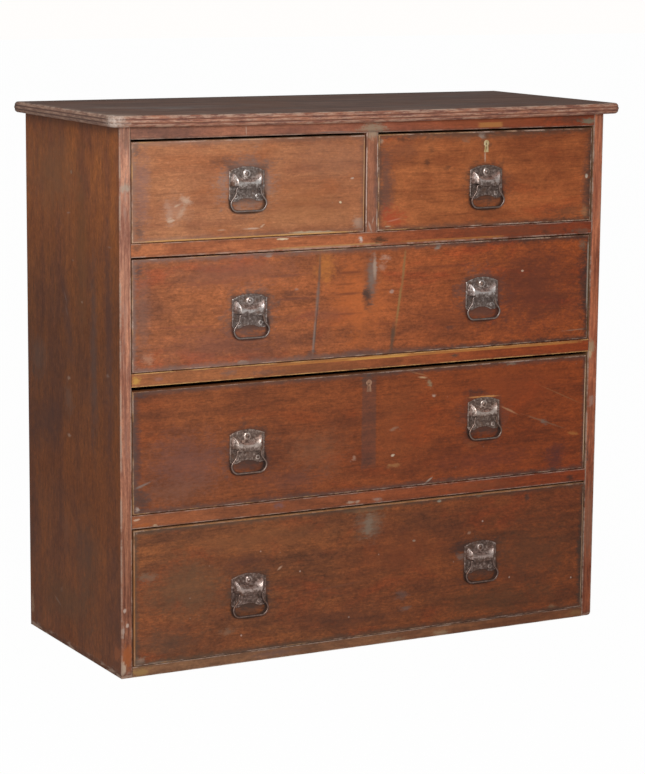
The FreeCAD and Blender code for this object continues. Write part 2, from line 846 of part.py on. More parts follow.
def drawer_side(name, x, y, z, tail_base, tool):
    # The front end carries the dovetails, which widen towards the front
    lap_y = (y[0], y[0] + size("frontThickness") - size("dovetailLap"))
    board = box(f"{name}_board", x, (lap_y[1], y[1]), z)
    height = (z[1] - tail_base).value
    count = max(fewest_tails, int(height // size("dovetailPitch").value))
    pitch = (z[1] - tail_base) / count
    tails = [board]
    for number in range(count):
        low = tail_base + pitch * number + size("dovetailPin") / 2
        high = low + pitch - size("dovetailPin")
        slope = size("dovetailSlope")
        tail = doc.addObject("Part::Wedge", f"{name}_tail_{number}")
        bind(tail, {
            "Xmin": x[0], "Xmax": x[1], "X2min": x[0], "X2max": x[1], "Ymin": lap_y[0], "Ymax": lap_y[1],
            "Zmin": low, "Zmax": high, "Z2min": low + slope, "Z2max": high - slope,
        })
        tails.append(tail)
    return keep(cut(name, fuse(f"{name}_blank", tails), [tool]))


def drawer_front(name, x, face, z, gaps, tools):
    owner = body(f"{name}_board")
    sketch = sketch_on(owner, f"{name}_outline", "XZ_Plane")
    low = z[0] + size("drawerGapBelow")
    width = x[1] - x[0]
    outline(sketch, [(0, 0), (width, 0), (width, z[1] - gaps[1] - low), (0, z[1] - gaps[0] - low)])
    board = pad(owner, sketch, size("frontThickness"), backwards=True)

    def face_edge(edge):
        return near(edge.BoundBox.YMax, 0.0)

    dress(owner, "Chamfer", board, face_edge, size("frontArris"))
    place(owner, x[0], face, low)
    return keep(cut(name, owner, tools))


def drawer(name, short, row_height, opening, handles, inlay=None):
    x = (opening[0] + size("drawerGapLeft"), opening[1] - size("drawerGapRight"))
    z = (row_floor[row_height], row_ceiling[row_height])
    face = front - size(f"{short}StandOut")
    end = back_inner - size("drawerGapBehind")
    wall = size("drawerWall")
    side_top = z[1] - size("drawerSideGapAbove")
    bottom_foot = z[0] + size("drawerBottomLift")
    bottom_z = (bottom_foot, bottom_foot + size("drawerBottomThickness"))
    inside = (x[0] + wall, x[1] - wall)
    groove = size("drawerGroove")
    front_back = face + size("frontThickness")
    bottom_x = (inside[0] - groove, inside[1] + groove)
    bottom = keep(box(f"{name}_bottom", bottom_x, (front_back - groove, end), bottom_z))
    keep(box(f"{name}_back", inside, (end - wall, end), (bottom_z[1], side_top - size("drawerBackDrop"))))
    sides = []
    for label, side_x in (("left", (x[0], inside[0])), ("right", (inside[1], x[1]))):
        sides.append(drawer_side(f"{name}_{label}_side", side_x, (face + size("dovetailLap"), end),
                                 (z[0], side_top), bottom_z[1], bottom))
    middle = (z[0] + z[1]) / 2
    plates, fasteners = [], []
    for label, handle_x, drop in handles:
        handle_z = middle - size(drop)
        plates.append(handle_plate(f"{name}_{label}plate", handle_x(x), face, handle_z))
        fasteners += handle_fasteners(f"{name}_{label}handle", handle_x(x), face, handle_z)
        bail(f"{name}_{label}bail", handle_x(x), face, handle_z)
    keep(group(f"{name}_handle_plates", plates))
    screws = keep(group(f"{name}_handle_screws", fasteners))
    tools = sides + [bottom, screws]
    if inlay is not None:
        inlay_name, shift = inlay
        inlay_x = (x[0] + x[1]) / 2 + size(shift)
        tools.append(keyhole_inlay(inlay_name, inlay_x, face, z[1] - size("inlayDrop")))
    gaps = (size(f"{short}GapLeft"), size(f"{short}GapRight"))
    drawer_front(f"{name}_front", x, face, z, gaps, tools)


def short_handle(short):
    return [("", lambda x: (x[0] + x[1]) / 2 + size(f"{short}HandleShift"), f"{short}HandleDrop")]


def long_handles(short):
    return [
        ("left_", lambda x: x[0] + size(f"{short}LeftHandleInset"), f"{short}LeftHandleDrop"),
        ("right_", lambda x: x[1] - size(f"{short}RightHandleInset"), f"{short}RightHandleDrop"),
    ]


whole_width = (inner_left, inner_right)
drawer("top_left_drawer", "topLeft", "topRowHeight", (inner_left, divider_left), short_handle("topLeft"))
drawer("top_right_drawer", "topRight", "topRowHeight", (divider_right, inner_right), short_handle("topRight"),
       ("top_right_keyhole_inlay", "topRightInlayShift"))
drawer("second_drawer", "second", "secondRowHeight", whole_width, long_handles("second"))
drawer("third_drawer", "third", "thirdRowHeight", whole_width, long_handles("third"),
       ("third_keyhole_inlay", "thirdInlayShift"))
drawer("bottom_drawer", "bottom", "bottomRowHeight", whole_width, long_handles("bottom"))

doc.recompute()

# Nothing is written unless every object is sound
faults = [
    f"{thing.Label}: {', '.join(thing.State)}"
    for thing in doc.Objects
    if "Invalid" in thing.State or "Error" in thing.State
]
for label, piece in nodes.items():
    if piece.Shape.isNull() or not piece.Shape.isValid() or not piece.Shape.Solids:
        faults.append(f"{label}: no valid solid")
if faults:
    raise RuntimeError("; ".join(faults))

for label, piece in nodes.items():
    piece.Shape.exportStep(f"parts/{label}.step")
print(len(nodes), "nodes written")
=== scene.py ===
import math
import bpy
import bmesh
from mathutils import Matrix, Vector, noise


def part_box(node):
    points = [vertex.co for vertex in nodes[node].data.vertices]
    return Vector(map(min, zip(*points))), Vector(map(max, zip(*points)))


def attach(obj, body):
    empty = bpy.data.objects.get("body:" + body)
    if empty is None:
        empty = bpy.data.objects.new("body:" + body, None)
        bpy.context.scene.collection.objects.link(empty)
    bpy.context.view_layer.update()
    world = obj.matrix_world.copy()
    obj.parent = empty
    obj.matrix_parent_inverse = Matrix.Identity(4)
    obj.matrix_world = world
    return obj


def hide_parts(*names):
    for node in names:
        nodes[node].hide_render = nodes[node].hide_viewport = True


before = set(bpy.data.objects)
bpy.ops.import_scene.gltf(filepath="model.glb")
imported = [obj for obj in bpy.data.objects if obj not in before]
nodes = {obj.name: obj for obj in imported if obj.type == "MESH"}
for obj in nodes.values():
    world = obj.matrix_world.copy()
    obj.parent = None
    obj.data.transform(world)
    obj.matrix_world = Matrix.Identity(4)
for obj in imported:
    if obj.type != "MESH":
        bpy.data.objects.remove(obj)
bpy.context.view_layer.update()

mm = 0.001
drawers = ["top_left_drawer", "top_right_drawer", "second_drawer", "third_drawer", "bottom_drawer"]


def hexColour(text):
    # a web colour as the linear colour that shaders want
    parts = [int(text[i:i + 2], 16) / 255 for i in (0, 2, 4)]
    linear = [p / 12.92 if p <= 0.04045 else ((p + 0.055) / 1.055) ** 2.4 for p in parts]
    return (*linear, 1.0)


def lerp(a, b, t):
    return a + (b - a) * t


def bailsOf(drawer):
    return [name for name in nodes if name.startswith(drawer) and name.endswith("_bail")]


markKinds = {  # how ragged its edge is, and where inside it the fading starts
    "smudge": (2.4, 0.15), "cloud": (1.6, 0.0), "chip": (1.6, 0.4), "line": (0.9, 0.2), "bar": (0.35, 0.75),
}
bailShadowLoop = {"squareness": 3.0, "middle": 0.86, "inner": 0.02, "outer": 0.17}  # the painted shadow and rub mark of a hanging handle on the wood


class Finish:  # one material, built up node by node
    def __init__(self, name):
        self.material = bpy.data.materials.new(name)
        self.material.use_nodes = True
        self.tree = self.material.node_tree
        self.tree.nodes.clear()
        self.shader = self.tree.nodes.new("ShaderNodeBsdfPrincipled")
        out = self.tree.nodes.new("ShaderNodeOutputMaterial")
        self.tree.links.new(self.shader.outputs["BSDF"], out.inputs["Surface"])
        coordinates = self.tree.nodes.new("ShaderNodeTexCoord")
        self.place, self.normal = coordinates.outputs["Object"], coordinates.outputs["Normal"]
        self.x, self.y, self.z = self.split(self.place)

    def wire(self, value, socket):
        # another node's output, a web colour, a colour without its alpha or a plain value
        if isinstance(value, bpy.types.NodeSocket):
            self.tree.links.new(value, socket)
        elif isinstance(value, str):
            socket.default_value = hexColour(value)
        elif socket.type == "RGBA" and len(value) == 3:
            socket.default_value = (*value, 1.0)
        else:
            socket.default_value = value

    def split(self, vector):
        node = self.tree.nodes.new("ShaderNodeSeparateXYZ")
        self.tree.links.new(vector, node.inputs[0])
        return tuple(node.outputs)

    def maths(self, operation, a, b=0.0, c=0.0):
        node = self.tree.nodes.new("ShaderNodeMath")
        node.operation = operation
        for value, socket in zip((a, b, c), node.inputs):
            self.wire(value, socket)
        return node.outputs[0]

    def minus(self, a, b):
        return self.maths("SUBTRACT", a, b)

    def apart(self, a, b):
        return self.maths("ABSOLUTE", self.minus(a, b))

    def scaleShift(self, value, scale, shift):
        return self.maths("MULTIPLY_ADD", value, scale, shift)

    def lowest(self, *values):
        result = values[0]
        for value in values[1:]:
            result = self.maths("MINIMUM", result, value)
        return result

    def times(self, *values):
        result = values[0]
        for value in values[1:]:
            result = self.maths("MULTIPLY", result, value)
        return result

    def fade(self, value, start, end, low=0.0, high=1.0):
        node = self.tree.nodes.new("ShaderNodeMapRange")
        node.interpolation_type = "SMOOTHSTEP"
        for item, socket in zip((value, start, end, low, high), node.inputs):
            self.wire(item, socket)
        return node.outputs[0]

    def mix(self, share, below, above, blend="MIX"):
        node = self.tree.nodes.new("ShaderNodeMix")
        node.data_type = "RGBA"
        node.blend_type = blend
        self.wire(share, node.inputs[0])
        self.wire(below, node.inputs[6])
        self.wire(above, node.inputs[7])
        return node.outputs[2]

    def tint(self, colour, shade):
        return self.mix(1.0, colour, shade, "MULTIPLY")

    def brighten(self, colour, value):
        node = self.tree.nodes.new("ShaderNodeHueSaturation")
        self.wire(value, node.inputs["Value"])
        self.wire(colour, node.inputs["Color"])
        return node.outputs[0]

    def stretch(self, scale, shift=(0.0, 0.0, 0.0)):
        node = self.tree.nodes.new("ShaderNodeMapping")
        self.tree.links.new(self.place, node.inputs["Vector"])
        node.inputs["Location"].default_value = shift
        node.inputs["Scale"].default_value = scale
        return node.outputs[0]

    def noise(self, vector, scale=1.0, detail=3.0, rough=0.55, wander=0.0):
        node = self.tree.nodes.new("ShaderNodeTexNoise")
        self.wire(vector, node.inputs["Vector"])
        node.inputs["Scale"].default_value = scale
        node.inputs["Detail"].default_value = detail
        node.inputs["Roughness"].default_value = rough
        node.inputs["Distortion"].default_value = wander
        return node.outputs["Fac"]

    def raggedness(self, scale=150):
        # an even, fine unevenness for edges, around nought
        return self.minus(self.noise(self.place, scale, 3, 0.65), 0.5)

    def attribute(self, name):
        node = self.tree.nodes.new("ShaderNodeAttribute")
        node.attribute_name = name
        return node.outputs["Fac"]

    def mark(self, spot, plane, ragged):
        # one stain, chip, scratch or painted shadow: a soft oval, a bar with straight sides or a rounded
        # outline
        kind, u, v, wide, high, turn = spot[:6]
        first, second = ("xyz".index(letter) for letter in plane)
        place, size, angles = [0, 0, 0], [1000, 1000, 1000], [0, 0, 0]
        place[first], place[second] = u * mm, v * mm
        size[first], size[second] = wide * mm, high * mm
        angles[3 - first - second] = math.radians(-turn if plane == "xz" else turn)
        node = self.tree.nodes.new("ShaderNodeMapping")
        node.vector_type = "TEXTURE"
        self.tree.links.new(self.place, node.inputs["Vector"])
        node.inputs["Location"].default_value = place
        node.inputs["Rotation"].default_value = angles
        node.inputs["Scale"].default_value = size
        if kind in ("bar", "loop"):
            axes = self.split(node.outputs[0])
            across, upward = (self.maths("ABSOLUTE", axes[side]) for side in (first, second))
        if kind == "loop":
            powers = [self.maths("POWER", side, bailShadowLoop["squareness"]) for side in (across, upward)]
            reach = self.maths("POWER", self.maths("ADD", *powers), 1 / bailShadowLoop["squareness"])
            away = self.apart(reach, bailShadowLoop["middle"])
            return self.fade(away, bailShadowLoop["inner"], bailShadowLoop["outer"], 1.0, 0.0)
        if kind == "bar":
            reach = self.maths("MAXIMUM", across, upward)
        else:
            length = self.tree.nodes.new("ShaderNodeVectorMath")
            length.operation = "LENGTH"
            self.tree.links.new(node.outputs[0], length.inputs[0])
            reach = length.outputs["Value"]
        loose, start = markKinds[kind]
        return self.fade(self.scaleShift(ragged, loose, reach), start, 1.0, 1.0, 0.0)

    def marks(self, colour, spots, plane, zone, ragged):
        for spot in spots:
            share = self.times(self.mark(spot, plane, ragged), zone, spot[7])
            colour = self.mix(share, colour, spot[6])
        return colour

    def complete(self, colour, rough, height, relief, depth=0.5, gloss=0.5):
        # relief is how strong the bump is, depth how deep it goes in millimetres
        self.wire(colour, self.shader.inputs["Base Color"])
        self.wire(rough, self.shader.inputs["Roughness"])
        self.shader.inputs["Specular IOR Level"].default_value = gloss
        node = self.tree.nodes.new("ShaderNodeBump")
        node.inputs["Strength"].default_value = relief
        node.inputs["Distance"].default_value = depth * mm
        self.wire(height, node.inputs["Height"])
        self.tree.links.new(node.outputs[0], self.shader.inputs["Normal"])
        return self.material


grain = {  # marks in a metre lengthwise and across, then detail, roughness and waviness
    "fine": (40, 420, 3, 0.7, 0.1), "fleck": (130, 230, 4, 0.75, 0.4), "mottle": (38, 75, 5, 0.75, 0.6),
    "figure": (11, 19, 6, 0.68, 0.5), "pores": (15, 230, 4, 0.65, 0.7), "blush": (5, 13, 5, 0.66, 0.6),
    "tears": (90, 260, 3, 0.7, 0.0),
}


def grainNoise(finish, along, texture, shift=(0.0, 0.0, 0.0)):
    lengthwise, across, *rest = texture
    scale = [across, across, across]
    scale["xyz".index(along)] = lengthwise
    return finish.noise(finish.stretch(scale, shift), 1, *rest)


def woodGrain(finish, wood, seed):
    # broad streaks, fine pores and slow clouds of tone, all along one direction
    shift = (seed * 1.37, seed * 2.11, seed * 0.73)
    streaks = (wood["streakLength"], wood["streakWidth"], 5, 0.62, 0.45)
    textures = (streaks, grain["fine"], grain["fleck"], grain["mottle"], grain["figure"], grain["pores"])
    broad, fine, fleck, mottle, figure, pores = (
        grainNoise(finish, wood["along"], texture, shift) for texture in textures)
    cloud = finish.noise(finish.stretch((5.5, 5.5, 6.5), shift), 1, 6, 0.66, 0.4)
    blend = finish.scaleShift(broad, 0.5, finish.times(figure, 0.5))
    colour = finish.mix(finish.fade(blend, 0.36, 0.64), wood["dark"], wood["light"])
    clouded = finish.times(finish.fade(cloud, 0.42, 0.7), wood["cloudShare"])
    colour = finish.mix(clouded, colour, wood["cloud"])
    if "red" in wood:  # stain that has turned redder in places
        blush = grainNoise(finish, wood["along"], grain["blush"], (seed * 0.9, 3, seed))
        colour = finish.mix(finish.fade(blush, 0.5, 0.66, 0.0, 0.65), colour, wood["red"])
    if "farShade" in wood:  # painted shade: darker and browner towards the right, where the light falls off
        toRight = finish.fade(finish.x, -0.42, 0.5)
        colour = finish.mix(toRight, colour, finish.tint(colour, wood["farShade"]))
    tones = [finish.scaleShift(layer, share, 1 - 0.5 * share) for layer, share in (
        (fine, wood["fineShare"]), (fleck, wood["fleckShare"]), (mottle, wood["mottleShare"]))]
    colour = finish.brighten(colour, finish.times(*tones, finish.fade(pores, 0.3, 0.5, 0.8, 1.02)))
    return colour, broad, fine, fleck, cloud


def tattered(finish, along, scale):
    # uneven edges for marks: slow wander and short tears along the grain
    wander = finish.minus(finish.noise(finish.place, scale, 6, 0.78), 0.5)
    tears = finish.minus(grainNoise(finish, along, grain["tears"]), 0.5)
    return finish.scaleShift(tears, 0.8, wander)


chips = {"often": 46, "core": 0.05, "rim": 0.12, "share": 0.7, "rare": 0.8}


def tinyChips(finish, colour, zone, paleHex, seed):
    # pale specks where the polish has popped off, one cell in five
    cells = finish.tree.nodes.new("ShaderNodeTexVoronoi")
    cells.inputs["Scale"].default_value = chips["often"]
    finish.wire(finish.stretch((1, 1, 1), (seed, 0, 0)), cells.inputs["Vector"])
    chance, strength, _ = finish.split(cells.outputs["Color"])
    dot = finish.fade(cells.outputs["Distance"], chips["core"], chips["rim"], 1.0, 0.0)
    chosen = finish.fade(chance, chips["rare"], chips["rare"] + 0.02)
    return finish.mix(finish.times(dot, chosen, strength, zone, chips["share"]), colour, paleHex)


def edgeAway(finish, low, high, axes):
    # how far a point is from the nearest edge in these directions
    gaps = []
    for axis in axes:
        place = getattr(finish, axis)
        gaps += [finish.minus(place, getattr(low, axis)), finish.minus(getattr(high, axis), place)]
    return finish.lowest(*gaps)


def wornLine(finish, away, ragged, width):
    # full at an edge and gone a little way in, with a ragged inner side
    return finish.fade(finish.scaleShift(ragged, width, away), 0.35 * width, 1.15 * width, 1.0, 0.0)


def patches(finish, often, seed, least):
    # where the wear shows: full in places and nearly gone between them
    spread = finish.noise(finish.stretch(often, (seed, 0, 0)), 1, 5, 0.7)
    return finish.fade(spread, 0.4, 0.6, least, 1.0)


drawerWood = {
    "along": "x", "streakLength": 3.2, "streakWidth": 42,
    "fineShare": 0.7, "fleckShare": 1.1, "mottleShare": 0.6, "cloudShare": 0.5, "shine": 0.46,
    "farShade": (0.85, 0.66, 0.52), "raw": "9c6238", "rawTop": "b98c62",
    "pale": "d0b4a4", "gold": "cf9c66", "grime": "46382f", "edgeMarks": [],
    "grimeReach": 13, "grimeLoose": 14, "wornWidth": 2.7,  # millimetres
}
# each mark: its kind, place, half width and half height in millimetres, turn, colour and share
frontLooks = {
    "top_left_drawer": {
        "edgeMarks": [
            ("bar", -264, 822.8, 243, 1.8, 0, "dba25c", 0.75),
            ("bar", -21.8, 915, 1.6, 92, 0, "cf9a62", 0.6),
        ],
        "light": "bd7e56", "dark": "9c6143", "cloud": "c07b50", "grimeShare": 0.5, "paleShare": 0.5,
        "red": "ad673f", "film": "94786a", "grime": "6e5448", "halo": "8a7064", "fringe": "a08a82",
        "farShade": (0.83, 0.67, 0.59),
        "marks": [
            ("cloud", -490, 915, 26, 110, 0, "8a6a66", 0.55),
            ("cloud", -60, 960, 150, 60, 0, "8e6250", 0.35),
            ("cloud", -150, 870, 160, 70, 0, "a86b3e", 0.35),
            ("cloud", -418, 878, 40, 40, 20, "bd9078", 0.45),
            ("cloud", -399, 895, 22, 12, -28, "d8bca6", 0.5),
            ("cloud", -404, 880, 9, 27, -32, "d2b29a", 0.42),
            ("cloud", -433, 873, 10, 30, 5, "c5a08c", 0.38),
            ("line", -417, 887, 10, 3, 20, "e0c6ac", 0.45),
            ("smudge", -430, 860, 10, 6, 0, "e0c8b0", 0.5),
            ("smudge", -270, 958, 75, 26, 0, "6d4a3c", 0.4),
            ("smudge", -320, 965, 40, 10, 0, "5f3e30", 0.35),
            ("chip", -73, 880, 4, 3, 0, "efd9b4", 0.9),
            ("chip", -48, 925, 5, 2.5, 0, "d4c4b4", 0.6),
            ("line", -262, 838, 26, 2.4, 0, "d9c0aa", 0.6),
            ("line", -240, 842, 8, 3, 30, "e4cbb0", 0.6),
            ("line", -325, 838, 14, 2, 0, "cfae92", 0.5),
            ("chip", -130, 824.5, 62, 4.5, -2, "e6cda6", 0.85),
            ("chip", -190, 822.5, 20, 3, 0, "dcbc8e", 0.8),
            ("smudge", -34, 838, 16, 16, 0, "b59a88", 0.6),
            ("smudge", -500, 990, 14, 18, 0, "6a544c", 0.6),
            ("smudge", -495, 845, 12, 26, 0, "5c4a44", 0.5),
        ],
    },
    "top_right_drawer": {
        "light": "c17848", "dark": "935431", "cloud": "c67443", "grimeShare": 0.75, "paleShare": 0.6,
        "red": "b65e34", "film": "5e4438", "grime": "43332a", "halo": "4c3a30",
        "marks": [
            ("cloud", 26, 910, 26, 130, 0, "6a4a40", 0.75),
            ("cloud", 490, 890, 18, 120, 0, "4a3a34", 0.7),
            ("cloud", 60, 975, 70, 40, 0, "7a4a36", 0.45),
            ("cloud", 250, 1000, 240, 14, 0, "75543f", 0.5),
            ("smudge", 42, 845, 40, 28, 0, "b4502e", 0.9),
            ("line", 46, 841, 24, 2, 10, "c98a70", 0.6),
            ("chip", 32, 829, 9, 2, 0, "d8b494", 0.8),
            ("smudge", 116, 950, 10, 12, 0, "4c3022", 0.6),
            ("smudge", 165, 938, 14, 7, 0, "5a3a28", 0.5),
            ("smudge", 126, 975, 9, 9, 0, "5a3a28", 0.4),
            ("smudge", 62, 996, 16, 7, 0, "4c3022", 0.6),
            ("smudge", 205, 990, 12, 8, 0, "94705a", 0.5),
            ("smudge", 240, 1000, 10, 8, -35, "b9a292", 0.8),
            ("line", 249.5, 957, 2.6, 14, 0, "c4a48e", 0.85),
            ("smudge", 251, 980, 17, 18, 0, "6a4a34", 0.5),
            ("chip", 490, 910, 5, 6, 0, "d8c6b2", 0.8),
            ("smudge", 487, 840, 14, 14, 0, "b98258", 0.6),
            ("smudge", 440, 843, 60, 16, -4, "64402c", 0.5),
            ("chip", 14, 993, 10, 7, 0, "c0a084", 0.8),
            ("smudge", 380, 1004, 30, 5, 0, "8c7a66", 0.6),
        ],
    },
    "second_drawer": {
        "edgeMarks": [
            ("bar", 498.8, 712, 2.4, 72, 0, "b0a090", 0.65),
        ],
        "light": "b56a40", "dark": "854f35", "cloud": "af673b", "grimeShare": 0.8, "paleShare": 0.45,
        "fleckShare": 1.7, "mottleShare": 1.1,
        "red": "af5533", "film": "866b61", "grime": "3a2d28", "halo": "5a443c", "fringe": "7c675e",
        "farShade": (0.92, 0.62, 0.34),
        "marks": [
            ("cloud", -488, 690, 26, 130, 0, "866458", 0.5),
            ("cloud", -300, 760, 190, 44, 0, "98604c", 0.5),
            ("cloud", -330, 620, 190, 50, 0, "865244", 0.5),
            ("cloud", -30, 690, 96, 120, 0, "cc6e36", 0.7),
            ("cloud", -105, 760, 30, 44, 0, "d2823e", 0.7),
            ("line", -48, 744, 42, 4, 0, "7c4228", 0.7),
            ("line", -60, 722, 34, 3, 1, "804628", 0.6),
            ("line", -52, 703, 46, 4, 1, "74402a", 0.65),
            ("line", 36, 706, 40, 3, -1, "7c4228", 0.5),
            ("line", -60, 664, 50, 3, 1, "804628", 0.5),
            ("line", 30, 640, 60, 4, -1, "86462a", 0.5),
            ("line", -190, 745, 60, 5, 0, "7a4a3a", 0.5),
            ("line", -170, 700, 50, 4, 0, "6e4236", 0.6),
            ("line", -330, 740, 120, 5, 1, "92543c", 0.5),
            ("line", -400, 660, 90, 4, -1, "8a4c38", 0.5),
            ("line", 250, 700, 120, 4, 0, "6c3824", 0.45),
            ("line", 160, 745, 100, 5, 0, "7c4028", 0.5),
            ("cloud", 370, 690, 220, 150, 0, "6b3524", 0.75),
            ("cloud", 490, 700, 18, 120, 0, "3a2c28", 0.75),
            ("cloud", 180, 640, 120, 70, 0, "7c4026", 0.45),
            ("line", -117, 745, 4.2, 62, -2, "7a5644", 0.85),
            ("line", -121, 690, 6, 52, -4, "8b7468", 0.75),
            ("line", -127, 628, 4.6, 62, -5, "8e7c72", 0.8),
            ("line", -123, 650, 2.2, 80, -5, "4a342c", 0.6),
            ("smudge", -136, 590, 14, 10, 0, "5e4a44", 0.6),
            ("line", 69, 748, 4.4, 60, -5, "9a7448", 0.8),
            ("line", 59, 678, 4.2, 66, -8, "a07a4a", 0.8),
            ("line", 45, 610, 7, 46, -6, "5e4a3a", 0.8),
            ("cloud", -4, 728, 23, 70, 0, "6e5346", 0.85),
            ("cloud", -2, 738, 14, 62, 0, "8a7468", 0.9),
            ("line", 4, 752, 6, 36, 1, "b89c8a", 0.85),
            ("cloud", -12, 692, 14, 30, 0, "4a362e", 0.85),
            ("smudge", -475, 604, 18, 14, 0, "c08a6c", 0.65),
            ("smudge", -495, 765, 14, 18, 0, "4e4444", 0.7),
            ("smudge", -180, 712, 24, 14, 0, "5a3a30", 0.5),
            ("smudge", -166, 718, 8, 5, 0, "a98e80", 0.6),
            ("smudge", 26, 768, 16, 9, 0, "c09a86", 0.6),
            ("smudge", 20, 752, 12, 10, 0, "b98e78", 0.5),
            ("smudge", 43, 702, 6, 4, 0, "b8a296", 0.6),
            ("chip", 342, 727, 5, 3, 0, "d6b8a0", 0.85),
            ("line", 470, 600, 40, 2, 1, "a08470", 0.6),
            ("smudge", 147, 785, 12, 6, 30, "a99a8c", 0.8),
            ("smudge", -224, 785, 12, 5, 0, "b0a094", 0.7),
            ("smudge", -282, 585, 14, 6, 0, "c0a490", 0.7),
            ("smudge", 178, 625, 14, 9, 0, "5c3c34", 0.6),
            ("smudge", -20, 588, 60, 9, 0, "6a4840", 0.5),
            ("smudge", 485, 772, 14, 14, 0, "7c6a58", 0.6),
            ("smudge", -120, 665, 100, 16, 0, "7d4b3e", 0.4),
        ],
    },
    "third_drawer": {
        "edgeMarks": [
            ("bar", 499.6, 430, 1.9, 112, 0, "d8b292", 0.8),
        ],
        "light": "945029", "dark": "6d3920", "cloud": "98532b", "grimeShare": 0.75, "paleShare": 0.42,
        "fleckShare": 1.5, "mottleShare": 0.9,
        "red": "954921", "film": "5c4740", "grime": "4a3a34", "halo": "54403a",
        "farShade": (1.08, 0.76, 0.45),
        "marks": [
            ("cloud", -400, 400, 120, 90, 0, "7e5248", 0.6),
            ("cloud", -420, 350, 110, 40, 0, "8f5c44", 0.5),
            ("cloud", -120, 400, 90, 60, 0, "8c5a3e", 0.5),
            ("cloud", -180, 350, 110, 40, 0, "6b4238", 0.5),
            ("cloud", 60, 440, 90, 110, 0, "8c4a26", 0.4),
            ("cloud", 330, 490, 170, 70, 0, "96451f", 0.55),
            ("cloud", 432, 340, 34, 44, 0, "5c2e28", 0.85),
            ("cloud", 260, 350, 150, 36, 0, "6e3426", 0.5),
            ("cloud", -500, 440, 14, 130, 0, "44383a", 0.6),
            ("bar", -5, 448, 18, 100, 0, "50403c", 0.4),
            ("smudge", -10, 530, 24, 18, 0, "5c4438", 0.6),
            ("smudge", -495, 338, 26, 30, 0, "4c3c38", 0.6),
            ("line", -488, 367, 26, 3.5, 18, "8c8078", 0.7),
            ("smudge", -500, 322, 7, 7, 0, "d0bcae", 0.8),
            ("line", 116, 528, 14, 3, -8, "c9a078", 0.85),
            ("smudge", 132, 516, 7, 14, 30, "a08a6a", 0.7),
            ("line", 100, 538, 40, 2.2, -16, "b4784c", 0.6),
            ("smudge", 142, 490, 8, 4, -10, "c4a490", 0.8),
            # a dent above the right handle: a dark line of painted shadow with a pale line of painted
            # highlight below it
            ("line", 258, 479, 44, 2.6, -1, "dc9858", 0.9),
            ("cloud", 240, 489, 38, 9, -3, "3e2a24", 0.75),
            ("line", 318, 447, 34, 3, -26, "b98a64", 0.7),
            ("line", 400, 418, 70, 2.4, -20, "8c6a50", 0.6),
            ("smudge", 402, 416, 14, 6, -20, "7c6e62", 0.6),
            ("line", 440, 470, 80, 1.8, -24, "96643e", 0.6),
            ("smudge", 472, 387, 16, 5, -10, "b06e34", 0.8),
            ("smudge", 50, 430, 12, 5, 20, "a8846c", 0.5),
            ("chip", 50, 378, 6, 4, 10, "dcc8ae", 0.85),
            ("smudge", 50, 357, 20, 5, 0, "b07c4c", 0.6),
            ("line", 132, 320, 14, 2.6, 32, "c8b4a2", 0.85),
            ("smudge", -37, 380, 6, 5, 0, "b48e78", 0.6),
            ("smudge", 320, 541, 14, 4, 0, "b4a48e", 0.8),
            ("smudge", -495, 540, 16, 12, 0, "4c4040", 0.6),
            ("smudge", 235, 383, 24, 8, 0, "a0562c", 0.5),
        ],
    },
    "bottom_drawer": {
        "edgeMarks": [
            ("bar", -4, 281.7, 498, 1.2, 0, "b0723c", 0.65),
            ("bar", -506.8, 150, 1.6, 126, 0, "b8783e", 0.6),
            ("bar", 499.8, 150, 1.6, 124, 0, "b48e6c", 0.65),
        ],
        "light": "96572e", "dark": "6c3f26", "cloud": "8e4b27", "grimeShare": 0.75, "paleShare": 0.38,
        "fleckShare": 1.9, "mottleShare": 1.1,
        "red": "914722", "film": "564638", "grime": "42342a", "halo": "4c3c34",
        "marks": [
            ("cloud", -400, 160, 130, 90, 0, "6f5138", 0.6),
            ("cloud", -440, 60, 90, 40, 0, "5f4636", 0.6),
            ("cloud", -280, 200, 60, 26, 0, "5c3426", 0.6),
            ("cloud", -250, 240, 220, 36, 0, "8c5632", 0.5),
            ("cloud", 80, 180, 130, 70, 0, "86411f", 0.5),
            ("cloud", 370, 150, 150, 110, 0, "583824", 0.6),
            ("cloud", 300, 60, 200, 44, 0, "5c3e26", 0.5),
            ("cloud", -60, 60, 200, 40, 0, "553325", 0.5),
            ("cloud", -2, 246, 40, 42, 0, "7e6a58", 0.6),
            ("smudge", -6, 244, 14, 34, 0, "8e7e6c", 0.5),
            ("line", -200, 179, 9, 3, 35, "c9a084", 0.8),
            ("smudge", -310, 66, 20, 12, 0, "8a6a54", 0.6),
            ("chip", 156, 277, 6, 4, 0, "cfc4ae", 0.85),
            ("smudge", 250, 279, 10, 4, 0, "b89e7c", 0.7),
            ("smudge", 364, 264, 8, 10, 0, "3c3430", 0.6),
            ("chip", 99, 202, 5, 3, 0, "a8907c", 0.7),
            ("chip", 227, 205, 5, 4, 0, "a8846c", 0.6),
            ("smudge", 82, 66, 18, 8, 0, "7c6a62", 0.5),
            ("smudge", 75, 95, 18, 12, 0, "74605a", 0.4),
            ("smudge", -478, 190, 24, 12, 0, "8a7460", 0.45),
            ("line", -80, 128, 90, 3, 4, "7c4a32", 0.6),
            ("smudge", 210, 178, 40, 18, 0, "3c2a26", 0.6),
            ("smudge", 208, 158, 14, 9, 0, "8a7c74", 0.4),
            ("smudge", -12, 275, 60, 8, 0, "8a6a4a", 0.5),
            ("smudge", 494, 130, 10, 110, 0, "3a2e26", 0.6),
            ("smudge", -498, 30, 22, 9, 0, "a08a78", 0.7),
            ("smudge", 430, 30, 12, 6, 0, "a08464", 0.5),
            ("chip", -460, 23, 30, 3.5, 0, "b8a08c", 0.8),
        ],
    },
}


